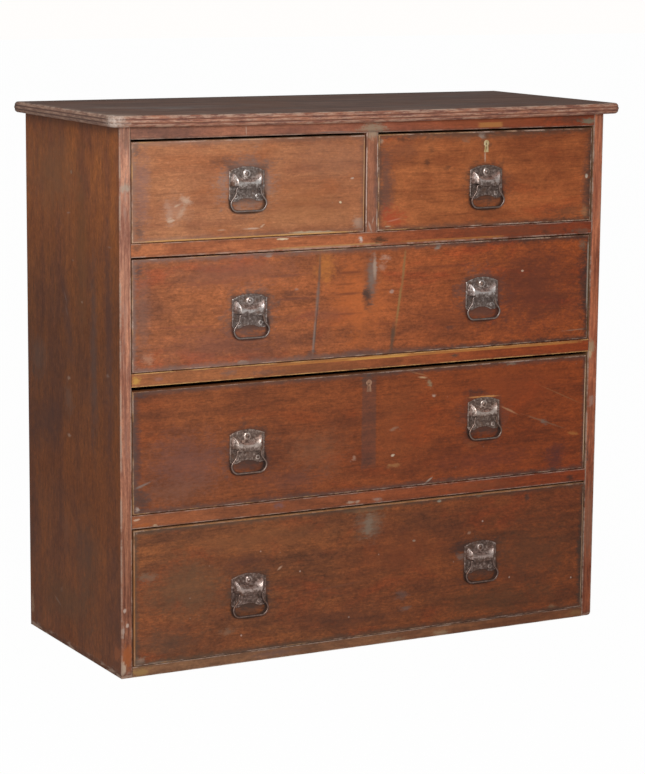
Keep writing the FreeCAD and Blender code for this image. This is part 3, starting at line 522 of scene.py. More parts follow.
# dirt that cloths leave round the handles, and painted shadows of the plates and bails
handleDirtAndShadow = {
    "cloth": 0.75, "fringe": 0.7, "shadow": "3c2e28", "shadowShare": 0.5, "rubAndPaintedLight": "241a15", "bailShadowShare": 0.85,
}


def handleHalosAndShadows(drawer):
    # dirt that polishing cloths left round the fittings, a painted shadow round each plate, and a dark loop
    # under each bail that is painted shadow and the rub of hands
    spots, look, dirt = [], frontLooks[drawer], handleDirtAndShadow
    for bail in bailsOf(drawer):
        low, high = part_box(bail)
        middle, top = (low.x + high.x) / 2 / mm, high.z / mm
        wide, drop = (high.x - low.x) / 2 / mm, (high.z - low.z) / 2 / mm
        spots.append(("cloud", middle, top - 6, 76, 64, 0, look["halo"], dirt["cloth"]))
        if "fringe" in look:
            spots.append(("cloud", middle, top + 2, 72, 68, 0, look["fringe"], dirt["fringe"]))
        # painted shadow round the plate, shifted a little to the right
        spots.append(("bar", middle + 2, top + 2, 45, 40, 0, dirt["shadow"], dirt["shadowShare"]))
        # painted shadow of the hanging bail: a dark loop round its outline, shifted right and down
        outline = (middle + 2, top - drop - 3, wide + 3, drop + 3, 0)
        spots.append(("loop", *outline, dirt["rubAndPaintedLight"], dirt["bailShadowShare"]))
    return spots


def drawerFrontFinish(name):
    wood = {**drawerWood, **frontLooks[name]}
    low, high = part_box(name + "_front")
    finish = Finish(name + "_mahogany")
    seed = 3 + drawers.index(name)
    colour, broad, fine, fleck, cloud = woodGrain(finish, wood, seed)
    ragged, loose = finish.raggedness(), tattered(finish, "x", 34)
    depth = finish.minus(finish.y, low.y)
    face = finish.fade(depth, 1.2 * mm, 2.0 * mm, 1.0, 0.0)
    colour = tinyChips(finish, colour, face, wood["pale"], seed)
    colour = finish.marks(colour, handleHalosAndShadows(name) + wood["marks"], "xz", face, loose)
    away = edgeAway(finish, low, high, "xz")
    # grime along the edges, dustier at the left
    near = finish.scaleShift(loose, wood["grimeLoose"] * mm, away)
    grime = finish.fade(near, 1 * mm, wood["grimeReach"] * mm, wood["grimeShare"], 0.0)
    dust = finish.mix(finish.fade(finish.x, low.x + 0.1, high.x - 0.1), wood["film"], wood["grime"])
    colour = finish.mix(finish.times(grime, face), colour, dust)
    # the rubbed line on the edges, golden in places
    worn = wornLine(finish, away, ragged, wood["wornWidth"] * mm)
    worn = finish.times(worn, patches(finish, (26, 9, 26), seed, 0.05), face, wood["paleShare"] * 1.6)
    golden = finish.fade(finish.noise(finish.place, 14, 3, 0.6), 0.42, 0.58)
    golden = finish.times(golden, finish.fade(finish.x, low.x, high.x, 1.0, 0.3))
    colour = finish.mix(worn, colour, finish.mix(golden, wood["pale"], wood["gold"]))
    colour = finish.marks(colour, wood["edgeMarks"], "xz", face, loose)
    # bare wood on the edges that the polish never reached
    upward = finish.fade(finish.minus(high.z, finish.z), 0.3 * mm, 0.9 * mm, 1.0, 0.0)
    bare = finish.mix(upward, wood["raw"], wood["rawTop"])
    bare = finish.brighten(bare, finish.scaleShift(broad, 1.1, 0.45))
    inside = finish.fade(depth, 0.9 * mm, 1.6 * mm)
    colour = finish.mix(inside, colour, bare)
    rough = finish.scaleShift(cloud, 0.28, wood["shine"] - 0.14)
    rough = finish.maths("MAXIMUM", finish.scaleShift(worn, 0.2, rough), inside)
    height = finish.scaleShift(worn, -0.8, finish.scaleShift(fleck, 0.5, fine))
    return finish.complete(colour, rough, height, 0.22, gloss=0.4)


sideWood = {
    "along": "z", "streakLength": 0.9, "streakWidth": 15,
    "light": "8a4d23", "dark": "6a3b25", "cloud": "85471e",
    "fineShare": 0.8, "fleckShare": 1.4, "mottleShare": 1.2, "cloudShare": 0.5, "shine": 0.55,
    "pale": "b39684", "grime": "46342a", "wornWidth": 3.6, "footWear": 13, "topShade": 22,  # millimetres
    "stileLight": "d6977a", "stileDark": "935d4b", "raw": "94704e", "paintedTopLight": 1.85,
    "stileFoot": (0.6, 0.51, 0.43), "stileMiddle": (1.0, 0.93, 0.85), "stileHead": (1.04, 1.08, 1.08),
    "farStileShade": (0.95, 0.68, 0.53), "gapShade": "2e1f19", "stileBloom": "ac877a",
    "lowTint": (1.04, 1.0, 0.82), "highTint": (1.0, 1.07, 1.13),
    "marks": [
        ("cloud", -165, 650, 30, 330, 0, "5e3f38", 0.6),
        ("cloud", -95, 600, 26, 260, 0, "64504a", 0.55),
        ("cloud", -40, 800, 46, 260, 0, "87562f", 0.6),
        ("cloud", 90, 930, 170, 120, 0, "8f6242", 0.6),
        ("cloud", 130, 440, 130, 80, -14, "57352c", 0.6),
        ("cloud", 180, 560, 70, 60, 0, "6c564c", 0.5),
        ("cloud", 30, 650, 30, 130, -12, "5c3d36", 0.55),
        ("cloud", 45, 230, 26, 60, 0, "8a5434", 0.55),
        ("cloud", -60, 180, 80, 150, 0, "614430", 0.5),
        ("cloud", 60, 90, 190, 70, 0, "67472a", 0.5),
        ("line", 40, 692, 18, 3, 60, "8f7a72", 0.5),
        ("line", 36, 668, 16, 3, 58, "84706a", 0.4),
        ("chip", 8, 935, 6, 5, 0, "a88a74", 0.6),
        ("line", 22, 857, 14, 2.4, -8, "b08c7c", 0.6),
        ("chip", 3, 768, 5, 3, 0, "a0806c", 0.6),
        ("chip", -40, 693, 6, 3, 0, "a88a74", 0.6),
        ("smudge", 25, 537, 10, 5, 0, "b4927c", 0.7),
        ("smudge", 25, 425, 12, 4, 0, "b4927c", 0.7),
        ("smudge", 30, 495, 30, 40, 0, "7c5c4c", 0.5),
        ("smudge", -160, 569, 12, 5, 0, "a08476", 0.5),
        ("smudge", -167, 811, 12, 4, 0, "a48a80", 0.5),
        ("line", 92, 82, 26, 3, 22, "8a7466", 0.6),
        ("smudge", 72, 110, 10, 9, 0, "8a6a58", 0.5),
        ("smudge", -195, 45, 22, 26, 0, "a0582c", 0.85),
        ("smudge", 224, 48, 10, 30, 0, "b08a6c", 0.7),
    ],
    "stileMarks": [
        ("smudge", -523, 923, 15, 13, 0, "b5a08e", 0.85),
        ("cloud", -520, 1010, 14, 40, 0, "7a5a4c", 0.6),
        ("cloud", -522, 760, 12, 120, 0, "9a6a58", 0.4),
        ("cloud", -520, 470, 14, 160, 0, "8a5848", 0.6),
        ("chip", -526, 132, 5, 6, 0, "d8c0b0", 0.7),
        ("chip", -521, 102, 4, 6, 0, "d8c0b0", 0.7),
        ("smudge", -522, 40, 14, 34, 0, "b0602e", 0.8),
        ("smudge", -529, 90, 5, 22, 0, "c8b4a6", 0.6),
        ("chip", -529, 18, 7, 16, 0, "cbb39c", 0.8),
        ("smudge", 510, 565, 12, 22, 0, "b09474", 0.85),
        ("smudge", 508, 548, 7, 12, 0, "d0b890", 0.7),
        ("cloud", 516, 900, 12, 110, 0, "b0644a", 0.4),
        ("cloud", 516, 700, 14, 100, 0, "7a422c", 0.5),
        ("cloud", 516, 430, 14, 130, 0, "7e4630", 0.55),
        ("smudge", 516, 452, 9, 16, 0, "c0a090", 0.5),
        ("smudge", 509, 350, 5, 40, 0, "4c403c", 0.7),
        ("cloud", 516, 200, 14, 130, 0, "94705c", 0.5),
    ],
}
railWood = {
    **drawerWood, "farShade": (0.8, 0.56, 0.42), "grimeReach": 6, "grimeLoose": 8, "wornWidth": 2.0,
}
railLooks = {
    "top_front_rail": {
        "light": "b97e62", "dark": "8f5f4f", "cloud": "bb7656", "grimeShare": 0.5, "paleShare": 0.25,
        "farShade": (0.88, 0.39, 0.18),
        "marks": [
            ("cloud", -440, 1024, 120, 20, 0, "6d4c44", 0.6),
            ("cloud", 250, 1026, 230, 20, 0, "96502c", 0.6),
            ("bar", 260, 1019, 31, 5.6, 0, "bf7f45", 0.9),
            ("smudge", -6, 1019, 38, 13, 0, "a89078", 0.9),
            ("smudge", 490, 1021, 26, 8, 0, "87806a", 0.9),
            ("smudge", 440, 1026, 60, 10, 0, "4f3a2e", 0.5),
            ("line", -275, 1022, 1.4, 18, 3, "d0b8a4", 0.6),
            ("line", -90, 1014, 60, 2, 0, "b09a90", 0.5),
        ],
    },
    "upper_drawer_rail": {
        "sag": 2.2,  # millimetres
        "light": "c87a4d", "dark": "9d5838", "cloud": "bf6f40", "grimeShare": 0.35, "paleShare": 0.28,
        "farShade": (0.59, 0.3, 0.17),
        "marks": [
            ("cloud", 330, 808, 230, 26, 0, "73412b", 0.65),
            ("bar", -100, 797.5, 130, 2.2, 0, "dba468", 0.6),
            ("bar", 180, 798, 130, 2.4, 0, "c8803f", 0.6),
            ("chip", -197, 815.5, 15, 2.6, 0, "f0d8b4", 0.9),
            ("smudge", -28, 808, 6, 9, 10, "d8ccc2", 0.9),
            ("smudge", -498, 812, 12, 8, 0, "5c4438", 0.6),
            ("smudge", 16, 804, 22, 7, -6, "42301f", 0.8),
            ("smudge", 392, 803, 10, 10, 0, "5a3322", 0.6),
            ("smudge", 440, 806, 8, 7, 0, "4c2c20", 0.6),
            ("smudge", 485, 800, 30, 8, 0, "6d5e4e", 0.5),
        ],
    },
    "middle_drawer_rail": {
        "light": "b77144", "dark": "8e5533", "cloud": "b46c3e", "grimeShare": 0.3,
        "paleShare": 0.6, "pale": "d6a266",
        "farShade": (0.79, 0.39, 0.18),
        "marks": [
            ("bar", 130, 575.6, 385, 3.2, 0, "d28a42", 0.6),
            ("bar", 15, 575, 75, 2.6, 0, "dea250", 0.8),
            ("bar", 330, 576, 170, 2, 0, "c4803e", 0.6),
            ("smudge", -502, 566, 12, 10, 0, "d2a04c", 0.8),
            ("smudge", -455, 566, 12, 6, 0, "a8766a", 0.5),
            ("smudge", -310, 568, 22, 8, 0, "7e6258", 0.6),
            ("smudge", -235, 563, 50, 6, 0, "71564e", 0.6),
            ("smudge", 187, 567, 14, 5, 0, "5c4436", 0.85),
            ("cloud", -150, 562, 160, 12, 0, "7c4a2a", 0.5),
        ],
    },
    "lower_drawer_rail": {
        "light": "a8623c", "dark": "7d472b", "cloud": "a05930", "grimeShare": 0.35, "paleShare": 0.3,
        "farShade": (0.9, 0.5, 0.26),
        "marks": [
            ("smudge", -486, 290, 28, 6, 0, "b0602c", 0.8),
            ("chip", -500, 303, 8, 3, 10, "d4b49a", 0.8),
            ("chip", -463, 289, 6, 3, 0, "cfae8c", 0.7),
            ("smudge", -44, 293, 12, 4, 0, "bfa48e", 0.7),
            ("smudge", -29, 293, 7, 4, 0, "bfa48e", 0.7),
            ("smudge", 14, 292, 14, 8, 0, "a89488", 0.6),
            ("smudge", -200, 302, 16, 9, 0, "7a5a5c", 0.6),
            ("smudge", 468, 295, 14, 12, 0, "3c2820", 0.7),
            ("cloud", 250, 298, 130, 14, 0, "80482a", 0.5),
        ],
    },
    "bottom_rail": {
        "light": "a07350", "dark": "744f38", "cloud": "946546", "grimeShare": 0.3, "paleShare": 0.4,
        "marks": [
            ("smudge", -490, 8, 24, 12, 0, "b08a52", 0.7),
            ("smudge", -200, 10, 70, 9, 0, "7c5c52", 0.6),
            ("smudge", 165, 5, 26, 8, 0, "a8896a", 0.7),
            ("smudge", 60, 4, 40, 6, 0, "9c8468", 0.5),
            ("smudge", 490, 8, 26, 10, 0, "8f6f44", 0.5),
        ],
    },
}
dividerLook = {
    "light": "b47b5f", "dark": "895b47", "cloud": "a97054", "grimeShare": 0.4, "paleShare": 0.9,
    "marks": [
        ("smudge", -4, 1008, 16, 12, 0, "b09a82", 0.8),
        ("line", -8, 830, 3, 16, 20, "c4ac9c", 0.6),
        ("line", -2, 842, 2, 12, -14, "c4ac9c", 0.5),
        ("smudge", 4, 900, 6, 90, 0, "6c5450", 0.5),
    ],
}


def stileColour(finish, wood, fleck, ragged, loose, stile, box, outward):
    # the front edge of a side board, seen as the stile beside the drawers
    low, high = box
    streaks = finish.noise(finish.stretch((190, 20, 11)), 1, 6, 0.72, 0.25)
    colour = finish.mix(finish.fade(streaks, 0.36, 0.64), wood["stileDark"], wood["stileLight"])
    colour = finish.brighten(colour, finish.scaleShift(fleck, 1.1, 0.45))
    bloom = finish.noise(finish.stretch((90, 30, 14), (3, 1, 2)), 1, 5, 0.75, 0.4)
    colour = finish.mix(finish.fade(bloom, 0.5, 0.68, 0.0, 0.6), colour, wood["stileBloom"])
    lower = finish.mix(finish.fade(finish.z, 0.24, 0.42), wood["stileFoot"], wood["stileMiddle"])
    colour = finish.tint(colour, finish.mix(finish.fade(finish.z, 0.55, 0.9), lower, wood["stileHead"]))
    # painted shade: the stile on the right is darker and browner
    if outward > 0:
        colour = finish.tint(colour, wood["farStileShade"])
    colour = finish.marks(colour, wood["stileMarks"], "xz", stile, loose)
    # painted shade: a dark line along the stile's inner edge, in the gap beside the drawers
    inward = finish.apart(finish.x, high.x if outward < 0 else low.x)
    gapShade = finish.fade(finish.scaleShift(ragged, 1.5 * mm, inward), 0.6 * mm, 2.6 * mm, 0.75, 0.0)
    return finish.mix(gapShade, colour, wood["gapShade"])


def sideFinish(name, outward):
    wood = sideWood
    low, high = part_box(name)
    finish = Finish(name + "_mahogany")
    colour, broad, fine, fleck, cloud = woodGrain(finish, wood, 11 if outward < 0 else 17)
    ragged, loose = finish.raggedness(), tattered(finish, "z", 34)
    deep = finish.apart(finish.x, low.x if outward < 0 else high.x)
    skin = finish.fade(deep, 2 * mm, 3 * mm, 1.0, 0.0)
    marks = wood["marks"]
    if outward > 0:  # the hidden side wears its marks elsewhere
        marks = [(kind, 20 - y, 1020 - z, *rest) for kind, y, z, *rest in marks]
    # painted light: the side is brighter towards its top
    colour = finish.brighten(colour, finish.fade(finish.z, 0.6, 1.0, 1.0, wood["paintedTopLight"]))
    upward = finish.fade(finish.z, 0.15, 0.95)
    colour = finish.tint(colour, finish.mix(upward, wood["lowTint"], wood["highTint"]))
    colour = tinyChips(finish, colour, skin, wood["pale"], 9)
    colour = finish.marks(colour, marks, "yz", skin, loose)
    inner = finish.brighten(wood["raw"], finish.scaleShift(broad, 0.7, 0.6))
    colour = finish.mix(finish.fade(deep, 20 * mm, 21.5 * mm), colour, inner)
    depth = finish.minus(finish.y, low.y)
    stile = finish.fade(depth, 0.7 * mm, 2.2 * mm, 1.0, 0.0)
    front = stileColour(finish, wood, fleck, ragged, loose, stile, (low, high), outward)
    colour = finish.mix(stile, colour, front)
    # rubbed upright edges, and a chipped and dirty foot
    edge = finish.maths("ADD", edgeAway(finish, low, high, "x"), depth)
    worn = wornLine(finish, edge, ragged, wood["wornWidth"] * mm)
    worn = finish.times(worn, patches(finish, (7, 7, 26), 0, 0.1), 0.85)
    foot = wornLine(finish, finish.minus(finish.z, low.z), loose, wood["footWear"] * mm)
    broken = finish.fade(finish.noise(finish.stretch((30, 22, 90)), 1, 4, 0.6), 0.47, 0.6)
    worn = finish.maths("MAXIMUM", worn, finish.times(foot, broken, 0.8))
    colour = finish.mix(finish.times(foot, 0.4), colour, wood["grime"])
    colour = finish.mix(worn, colour, wood["pale"])
    # painted shade under the overhanging top, in the grime colour
    shade = finish.fade(finish.minus(high.z, finish.z), 0, wood["topShade"] * mm, 0.5, 0.0)
    colour = finish.mix(finish.times(shade, finish.minus(1.0, stile)), colour, wood["grime"])
    rough = finish.scaleShift(worn, 0.25, finish.scaleShift(cloud, 0.25, wood["shine"] - 0.12))
    return finish.complete(colour, rough, finish.scaleShift(worn, -0.8, fine), 0.2, gloss=0.35)


def railFinish(name, look, along="x"):
    wood = {**railWood, **look, "along": along}
    low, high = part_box(name)
    finish = Finish(name + "_mahogany")
    colour, broad, fine, _, cloud = woodGrain(finish, wood, 23 + len(name))
    ragged, loose = finish.raggedness(170), tattered(finish, along, 40)
    depth = finish.minus(finish.y, low.y)
    face = finish.fade(depth, 1.0 * mm, 2.0 * mm, 1.0, 0.0)
    colour = finish.marks(colour, wood["marks"], "xz", face, loose)
    away = edgeAway(finish, low, high, "z" if along == "x" else "x")
    near = finish.scaleShift(loose, wood["grimeLoose"] * mm, away)
    grime = finish.fade(near, 0, wood["grimeReach"] * mm, wood["grimeShare"], 0.0)
    colour = finish.mix(finish.times(grime, face), colour, wood["grime"])
    worn = wornLine(finish, away, ragged, wood["wornWidth"] * mm)
    worn = finish.times(worn, patches(finish, (24, 8, 24), len(name), 0.1), face, wood["paleShare"] * 1.6)
    colour = finish.mix(worn, colour, wood["pale"])
    inner = finish.brighten(sideWood["raw"], finish.scaleShift(broad, 0.7, 0.55))
    colour = finish.mix(finish.fade(depth, 3 * mm, 30 * mm), colour, inner)
    rough = finish.scaleShift(worn, 0.2, finish.scaleShift(cloud, 0.25, wood["shine"] - 0.1))
    return finish.complete(colour, rough, finish.scaleShift(worn, -0.8, fine), 0.2, gloss=0.4)


topWood = {
    "along": "x", "streakLength": 1.4, "streakWidth": 44,
    "light": "7c5644", "dark": "5c3f32", "cloud": "794e37", "scratch": "a8968a", "knocked": "cdb8aa",
    "fineShare": 0.6, "fleckShare": 0.8, "mottleShare": 0.6, "cloudShare": 0.5, "shine": 0.52,
    "edgeLight": "b0755b", "edgeDark": "7c4e43", "crest": "caa58e", "groove": "3a2620", "pale": "c4ab9a",
    "leftEdge": "8a7062",
    "marks": [
        ("cloud", -430, 150, 110, 70, 0, "7c5440", 0.6),
        ("cloud", 60, 190, 420, 44, 0, "8a5c44", 0.6),
        ("line", -330, -196, 90, 3, 0.4, "b8aa9c", 0.6),
        ("line", -240, -150, 130, 3, -0.3, "4a342c", 0.6),
        ("line", -420, -110, 90, 4, 0, "b0a294", 0.5),
        ("line", -60, -160, 90, 2.4, 0.3, "ac9c90", 0.5),
        ("cloud", -60, 130, 160, 90, 0, "745442", 0.6),
        ("cloud", 90, 160, 60, 50, 0, "70483f", 0.6),
        ("cloud", -330, -40, 150, 60, 0, "75645e", 0.6),
        ("smudge", -340, -60, 50, 26, 0, "8f8078", 0.6),
        ("smudge", -400, -30, 60, 30, 0, "85776f", 0.6),
        ("smudge", -470, 0, 50, 30, 0, "8c7d72", 0.5),
        ("smudge", 350, 80, 34, 22, 0, "857c76", 0.5),
        ("cloud", 300, -150, 200, 50, 0, "5c4744", 0.5),
        ("cloud", -520, -200, 60, 60, 0, "94796a", 0.6),
        ("line", -380, -150, 170, 2.4, 0.5, "a39488", 0.6),
        ("line", -130, -70, 300, 2.6, 0, "8f8076", 0.45),
        ("line", 200, 20, 260, 3.0, -0.6, "4a3a34", 0.5),
        ("line", 60, -190, 220, 2.4, 0.4, "94857a", 0.5),
        ("cloud", 330, 60, 150, 60, 0, "5a4640", 0.6),
        ("cloud", -150, -120, 120, 40, 0, "665248", 0.6),
    ],
}


def reededEdge(finish, wood, fleck, ragged, patchy, groove, leftEnd):
    # streaked rounds with pale crests and grooves painted dark as shade, greyer at the left end
    streaks = finish.noise(finish.stretch((28, 28, 240)), 1, 5, 0.7, 0.5)
    reed = finish.mix(finish.fade(streaks, 0.36, 0.64), wood["edgeDark"], wood["edgeLight"])
    reed = finish.mix(finish.times(leftEnd, 0.6), reed, wood["leftEdge"])
    reed = finish.brighten(reed, finish.scaleShift(fleck, 1.0, 0.5))
    crest = finish.fade(finish.scaleShift(ragged, 0.5, groove), 0.0, 0.3, 0.75, 0.0)
    reed = finish.mix(finish.times(crest, patchy), reed, wood["crest"])
    # painted shade in the grooves between the reeds
    return finish.mix(finish.fade(groove, 0.35, 0.95, 0.0, 0.62), reed, wood["groove"])


def topFinish():
    wood = topWood
    low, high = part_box("top_board")
    finish = Finish("top_board_mahogany")
    colour, broad, fine, fleck, cloud = woodGrain(finish, wood, 31)
    ragged, loose = finish.raggedness(), tattered(finish, "x", 34)
    colour = finish.marks(colour, wood["marks"], "xy", 1.0, loose)
    scratch = finish.noise(finish.stretch((4.0, 260, 260), (4, 1, 0)), 1, 3, 0.6, 0.4)
    colour = finish.mix(finish.fade(scratch, 0.56, 0.7, 0.0, 0.75), colour, wood["scratch"])
    dirt = finish.noise(finish.stretch((5.0, 120, 120), (1, 5, 0)), 1, 4, 0.7, 0.6)
    colour = finish.mix(finish.fade(dirt, 0.52, 0.68, 0.0, 0.65), colour, wood["groove"])
    # the board carries where its nose is (0 above, 1 below) and how deep it is between the reeds
    onRound, groove = finish.attribute("onRound"), finish.attribute("groove")
    leftEnd = finish.fade(finish.x, low.x + 14 * mm, low.x + 50 * mm, 1.0, 0.0)
    patchy = finish.fade(finish.noise(finish.stretch((36, 36, 200)), 1, 6, 0.78), 0.42, 0.6, 0.0, 1.0)
    reed = reededEdge(finish, wood, fleck, ragged, patchy, groove, leftEnd)
    colour = finish.mix(finish.fade(onRound, 0.03, 0.09), colour, reed)
    # rubbed along the upper edge
    upper = finish.times(finish.fade(onRound, 0.005, 0.05), finish.fade(onRound, 0.1, 0.2, 1.0, 0.0))
    fromEdge = finish.lowest(edgeAway(finish, low, high, "x"), finish.minus(finish.y, low.y))
    lip = finish.times(wornLine(finish, fromEdge, loose, 22 * mm), finish.fade(onRound, 0.02, 0.08, 1.0, 0.0))
    worn = finish.maths("MAXIMUM", finish.times(upper, patchy, 0.75), finish.times(lip, patchy, 0.4))
    colour = finish.mix(worn, colour, wood["pale"])
    corner = finish.mark(("smudge", -548, -224, 34, 34, 0), "xy", loose)
    flaked = finish.fade(finish.noise(finish.place, 120, 4, 0.7), 0.4, 0.56, 0.25, 0.9)
    colour = finish.mix(finish.times(corner, flaked), colour, wood["knocked"])
    # plain wood underneath
    under = finish.times(finish.fade(onRound, 0.97, 1.0), finish.fade(fromEdge, 20 * mm, 60 * mm))
    inner = finish.brighten(sideWood["raw"], finish.scaleShift(broad, 0.7, 0.55))
    colour = finish.mix(under, colour, inner)
    rough = finish.scaleShift(worn, 0.2, finish.scaleShift(cloud, 0.3, wood["shine"] - 0.12))
    return finish.complete(colour, rough, finish.scaleShift(fleck, 0.5, fine), 0.25, gloss=0.35)


wornTop = {  # millimetres, and steps along and across
    "nose": 8.0, "corner": 14.0, "groove": 0.9, "grooveHalf": 1.1, "reeds": 3,
    "sagAbove": 3.0, "sagBelow": 4.0, "sagFrom": 100, "sagReach": 300,
    "wave": 0.35, "waveOften": 0.02, "chip": 1.6, "chipReach": 38, "chipOften": 0.12,
    "endSteps": 30, "cornerSteps": 10, "frontSteps": 160, "flatSteps": 8, "noseSteps": 30,
}


def wornTopBoard(board=wornTop):
    # the slab with a rounded, reeded nose, a tired middle and a knocked front corner
    low, high = (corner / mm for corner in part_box("top_board"))
    thick, nose, bend = high.z - low.z, board["nose"], board["corner"]
    depth, length = high.y - low.y - bend, high.x - low.x - 2 * bend
    arc = bend * math.pi / 2
    whole = 2 * depth + 2 * arc + length

    def outlineAt(along):
        # place and outward direction on the plan, from the back left to the back right
        side = 1 if along > whole / 2 else -1
        along = min(along, whole - along)
        middle = (low.x + high.x) / 2
        if along < depth:
            return Vector((high.x if side > 0 else low.x, high.y - along)), Vector((side, 0))
        if along < depth + arc:
            angle = (along - depth) / bend
            outward = Vector((side * math.cos(angle), -math.sin(angle)))
            centre = Vector((middle + side * length / 2, low.y + bend))
            return centre + outward * bend, outward
        reach = length / 2 - (along - depth - arc)
        return Vector((middle + side * reach, low.y)), Vector((0, -1))

    endSteps, cornerSteps, frontSteps = board["endSteps"], board["cornerSteps"], board["frontSteps"]
    stations = [depth * k / endSteps for k in range(endSteps)]
    stations += [depth + arc * k / cornerSteps for k in range(cornerSteps)]
    stations += [depth + arc + length * k / frontSteps for k in range(frontSteps + 1)]
    stations += [whole - station for station in reversed(stations[:endSteps + cornerSteps])]
    flatSteps, noseSteps = board["flatSteps"], board["noseSteps"]
    last, rows = len(stations) - 1, flatSteps + noseSteps + 2
    slab = bmesh.new()
    onRound, groove = (slab.verts.layers.float.new(layer) for layer in ("onRound", "groove"))
    bmesh.ops.create_grid(slab, x_segments=last, y_segments=rows, size=1)
    for vert in slab.verts:
        station = round((vert.co.x + 1) / 2 * last)
        row = round((vert.co.y + 1) / 2 * rows)
        plan, outward = outlineAt(stations[station])
        back = Vector((lerp(low.x + nose, high.x - nose, station / last), high.y))
        turn = min(1, max(0, (row - flatSteps) / noseSteps))  # 0 above the nose, 1 below it
        angle = math.pi * turn
        height = thick * (1 + math.cos(angle)) / 2
        for reed in range(1, board["reeds"]):
            gap = abs(height - thick * reed / board["reeds"]) / board["grooveHalf"]
            vert[groove] += math.exp(-gap * gap)
        inset = nose * (1 - math.sin(angle)) + board["groove"] * vert[groove]
        often = board["waveOften"]
        wave = noise.noise(Vector((plan.x * often, plan.y * often, turn)))
        inset += math.sin(angle) * board["wave"] * (1 + wave)
        knock = max(0, 1 - math.hypot(plan.x - low.x, plan.y - low.y) / board["chipReach"])
        often = board["chipOften"]
        crumble = noise.noise(Vector((plan.x * often, plan.y * often, height * 0.2)))
        inset += board["chip"] * knock * abs(crumble)
        spot = plan - outward * inset
        if row < flatSteps:
            spot = back.lerp(spot, row / flatSteps)
        elif row > flatSteps + noseSteps:
            spot = back
        forward = min(1, max(0, (board["sagFrom"] - spot.y) / board["sagReach"])) ** 2
        forward *= 1 - (spot.x / high.x) ** 2
        vert[onRound] = turn
        sag = lerp(board["sagAbove"], board["sagBelow"], turn) * forward
        vert.co = (spot.x, spot.y, low.z + height - sag)
    bmesh.ops.remove_doubles(slab, verts=slab.verts, dist=0.02)
    bmesh.ops.contextual_create(slab, geom=[edge for edge in slab.edges if edge.is_boundary])
    bmesh.ops.scale(slab, vec=(mm, mm, mm), verts=slab.verts)
    bmesh.ops.recalc_face_normals(slab, faces=slab.faces)
    return slab


def saggedRail(name, sag, steps=30):
    # the same rail with its underside let down a little in the middle
    low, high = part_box(name)
    rail = bmesh.new()
    rail.from_mesh(nodes[name].data)
    bmesh.ops.transform(rail, matrix=nodes[name].matrix_world, verts=rail.verts)
    bmesh.ops.remove_doubles(rail, verts=rail.verts, dist=0.01 * mm)
    bmesh.ops.dissolve_limit(rail, angle_limit=0.01, verts=rail.verts, edges=rail.edges)
    for k in range(1, steps):
        geometry = [*rail.verts, *rail.edges, *rail.faces]
        across = (lerp(low.x, high.x, k / steps), 0, 0)
        bmesh.ops.bisect_plane(rail, geom=geometry, plane_co=across, plane_no=(1, 0, 0))
    for vert in rail.verts:
        if vert.co.z < (low.z + high.z) / 2:
            fromMiddle = (2 * vert.co.x - low.x - high.x) / (high.x - low.x)
            vert.co.z -= sag * mm * (1 - fromMiddle ** 2)
    bmesh.ops.recalc_face_normals(rail, faces=rail.faces)
    return rail


pineWood = {
    "streakLength": 1.6, "streakWidth": 40, "light": "c79a70", "dark": "996c4b", "cloud": "ad805c",
    "fineShare": 0.3, "fleckShare": 0.2, "mottleShare": 0.6, "cloudShare": 0.6, "shine": 0.75,
    "grime": "54403a", "boardsLeast": 0.72, "boardsSpread": 0.5,
}


def pineFinish(name, along, seed, tone, boards=0):
    wood = {**pineWood, "along": along}
    finish = Finish(name)
    colour, _, fine, fleck, cloud = woodGrain(finish, wood, seed)
    if boards:  # each board of the back has its own tone
        left, right = (corner.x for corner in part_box("back_boards"))
        number = finish.maths("DIVIDE", finish.minus(finish.x, left), (right - left) / boards)
        chance = finish.tree.nodes.new("ShaderNodeTexWhiteNoise")
        chance.noise_dimensions = "1D"
        finish.wire(finish.maths("FLOOR", number), chance.inputs["W"])
        shade = finish.scaleShift(chance.outputs["Value"], wood["boardsSpread"], wood["boardsLeast"])
        colour = finish.brighten(colour, shade)
    dirt = finish.noise(finish.stretch((7, 7, 7), (seed, 3, 1)), 1, 5, 0.65)
    colour = finish.mix(finish.fade(dirt, 0.5, 0.75, 0.0, 0.55), colour, wood["grime"])
    colour = finish.brighten(colour, tone)
    rough = finish.scaleShift(cloud, 0.2, wood["shine"] - 0.1)
    return finish.complete(colour, rough, finish.scaleShift(fleck, 0.6, fine), 0.3, gloss=0.25)


handleMetal = {
    "dark": "70615a", "body": "d8c7bd", "worn": "f6efe9", "brown": "94725b",
    "roughDark": 0.45, "roughWorn": 0.36, "metallic": 0.9,
    "bailRubAndHighlight": (0.05, 0.42), "screwRub": (0.1, 0.38),  # least and most
    "patchy": {"plate": 1.5, "screw": 1.5, "bail": 0.5},
    "tones": {  # the lower handles are browner and duller
        "top_left_drawer": (1.0, 0.99, 1.0), "top_right_drawer": (0.87, 0.79, 0.77),
        "second_drawer": (0.98, 0.95, 0.96), "third_drawer": (0.94, 0.83, 0.78),
        "bottom_drawer": (0.74, 0.63, 0.6),
    },
}


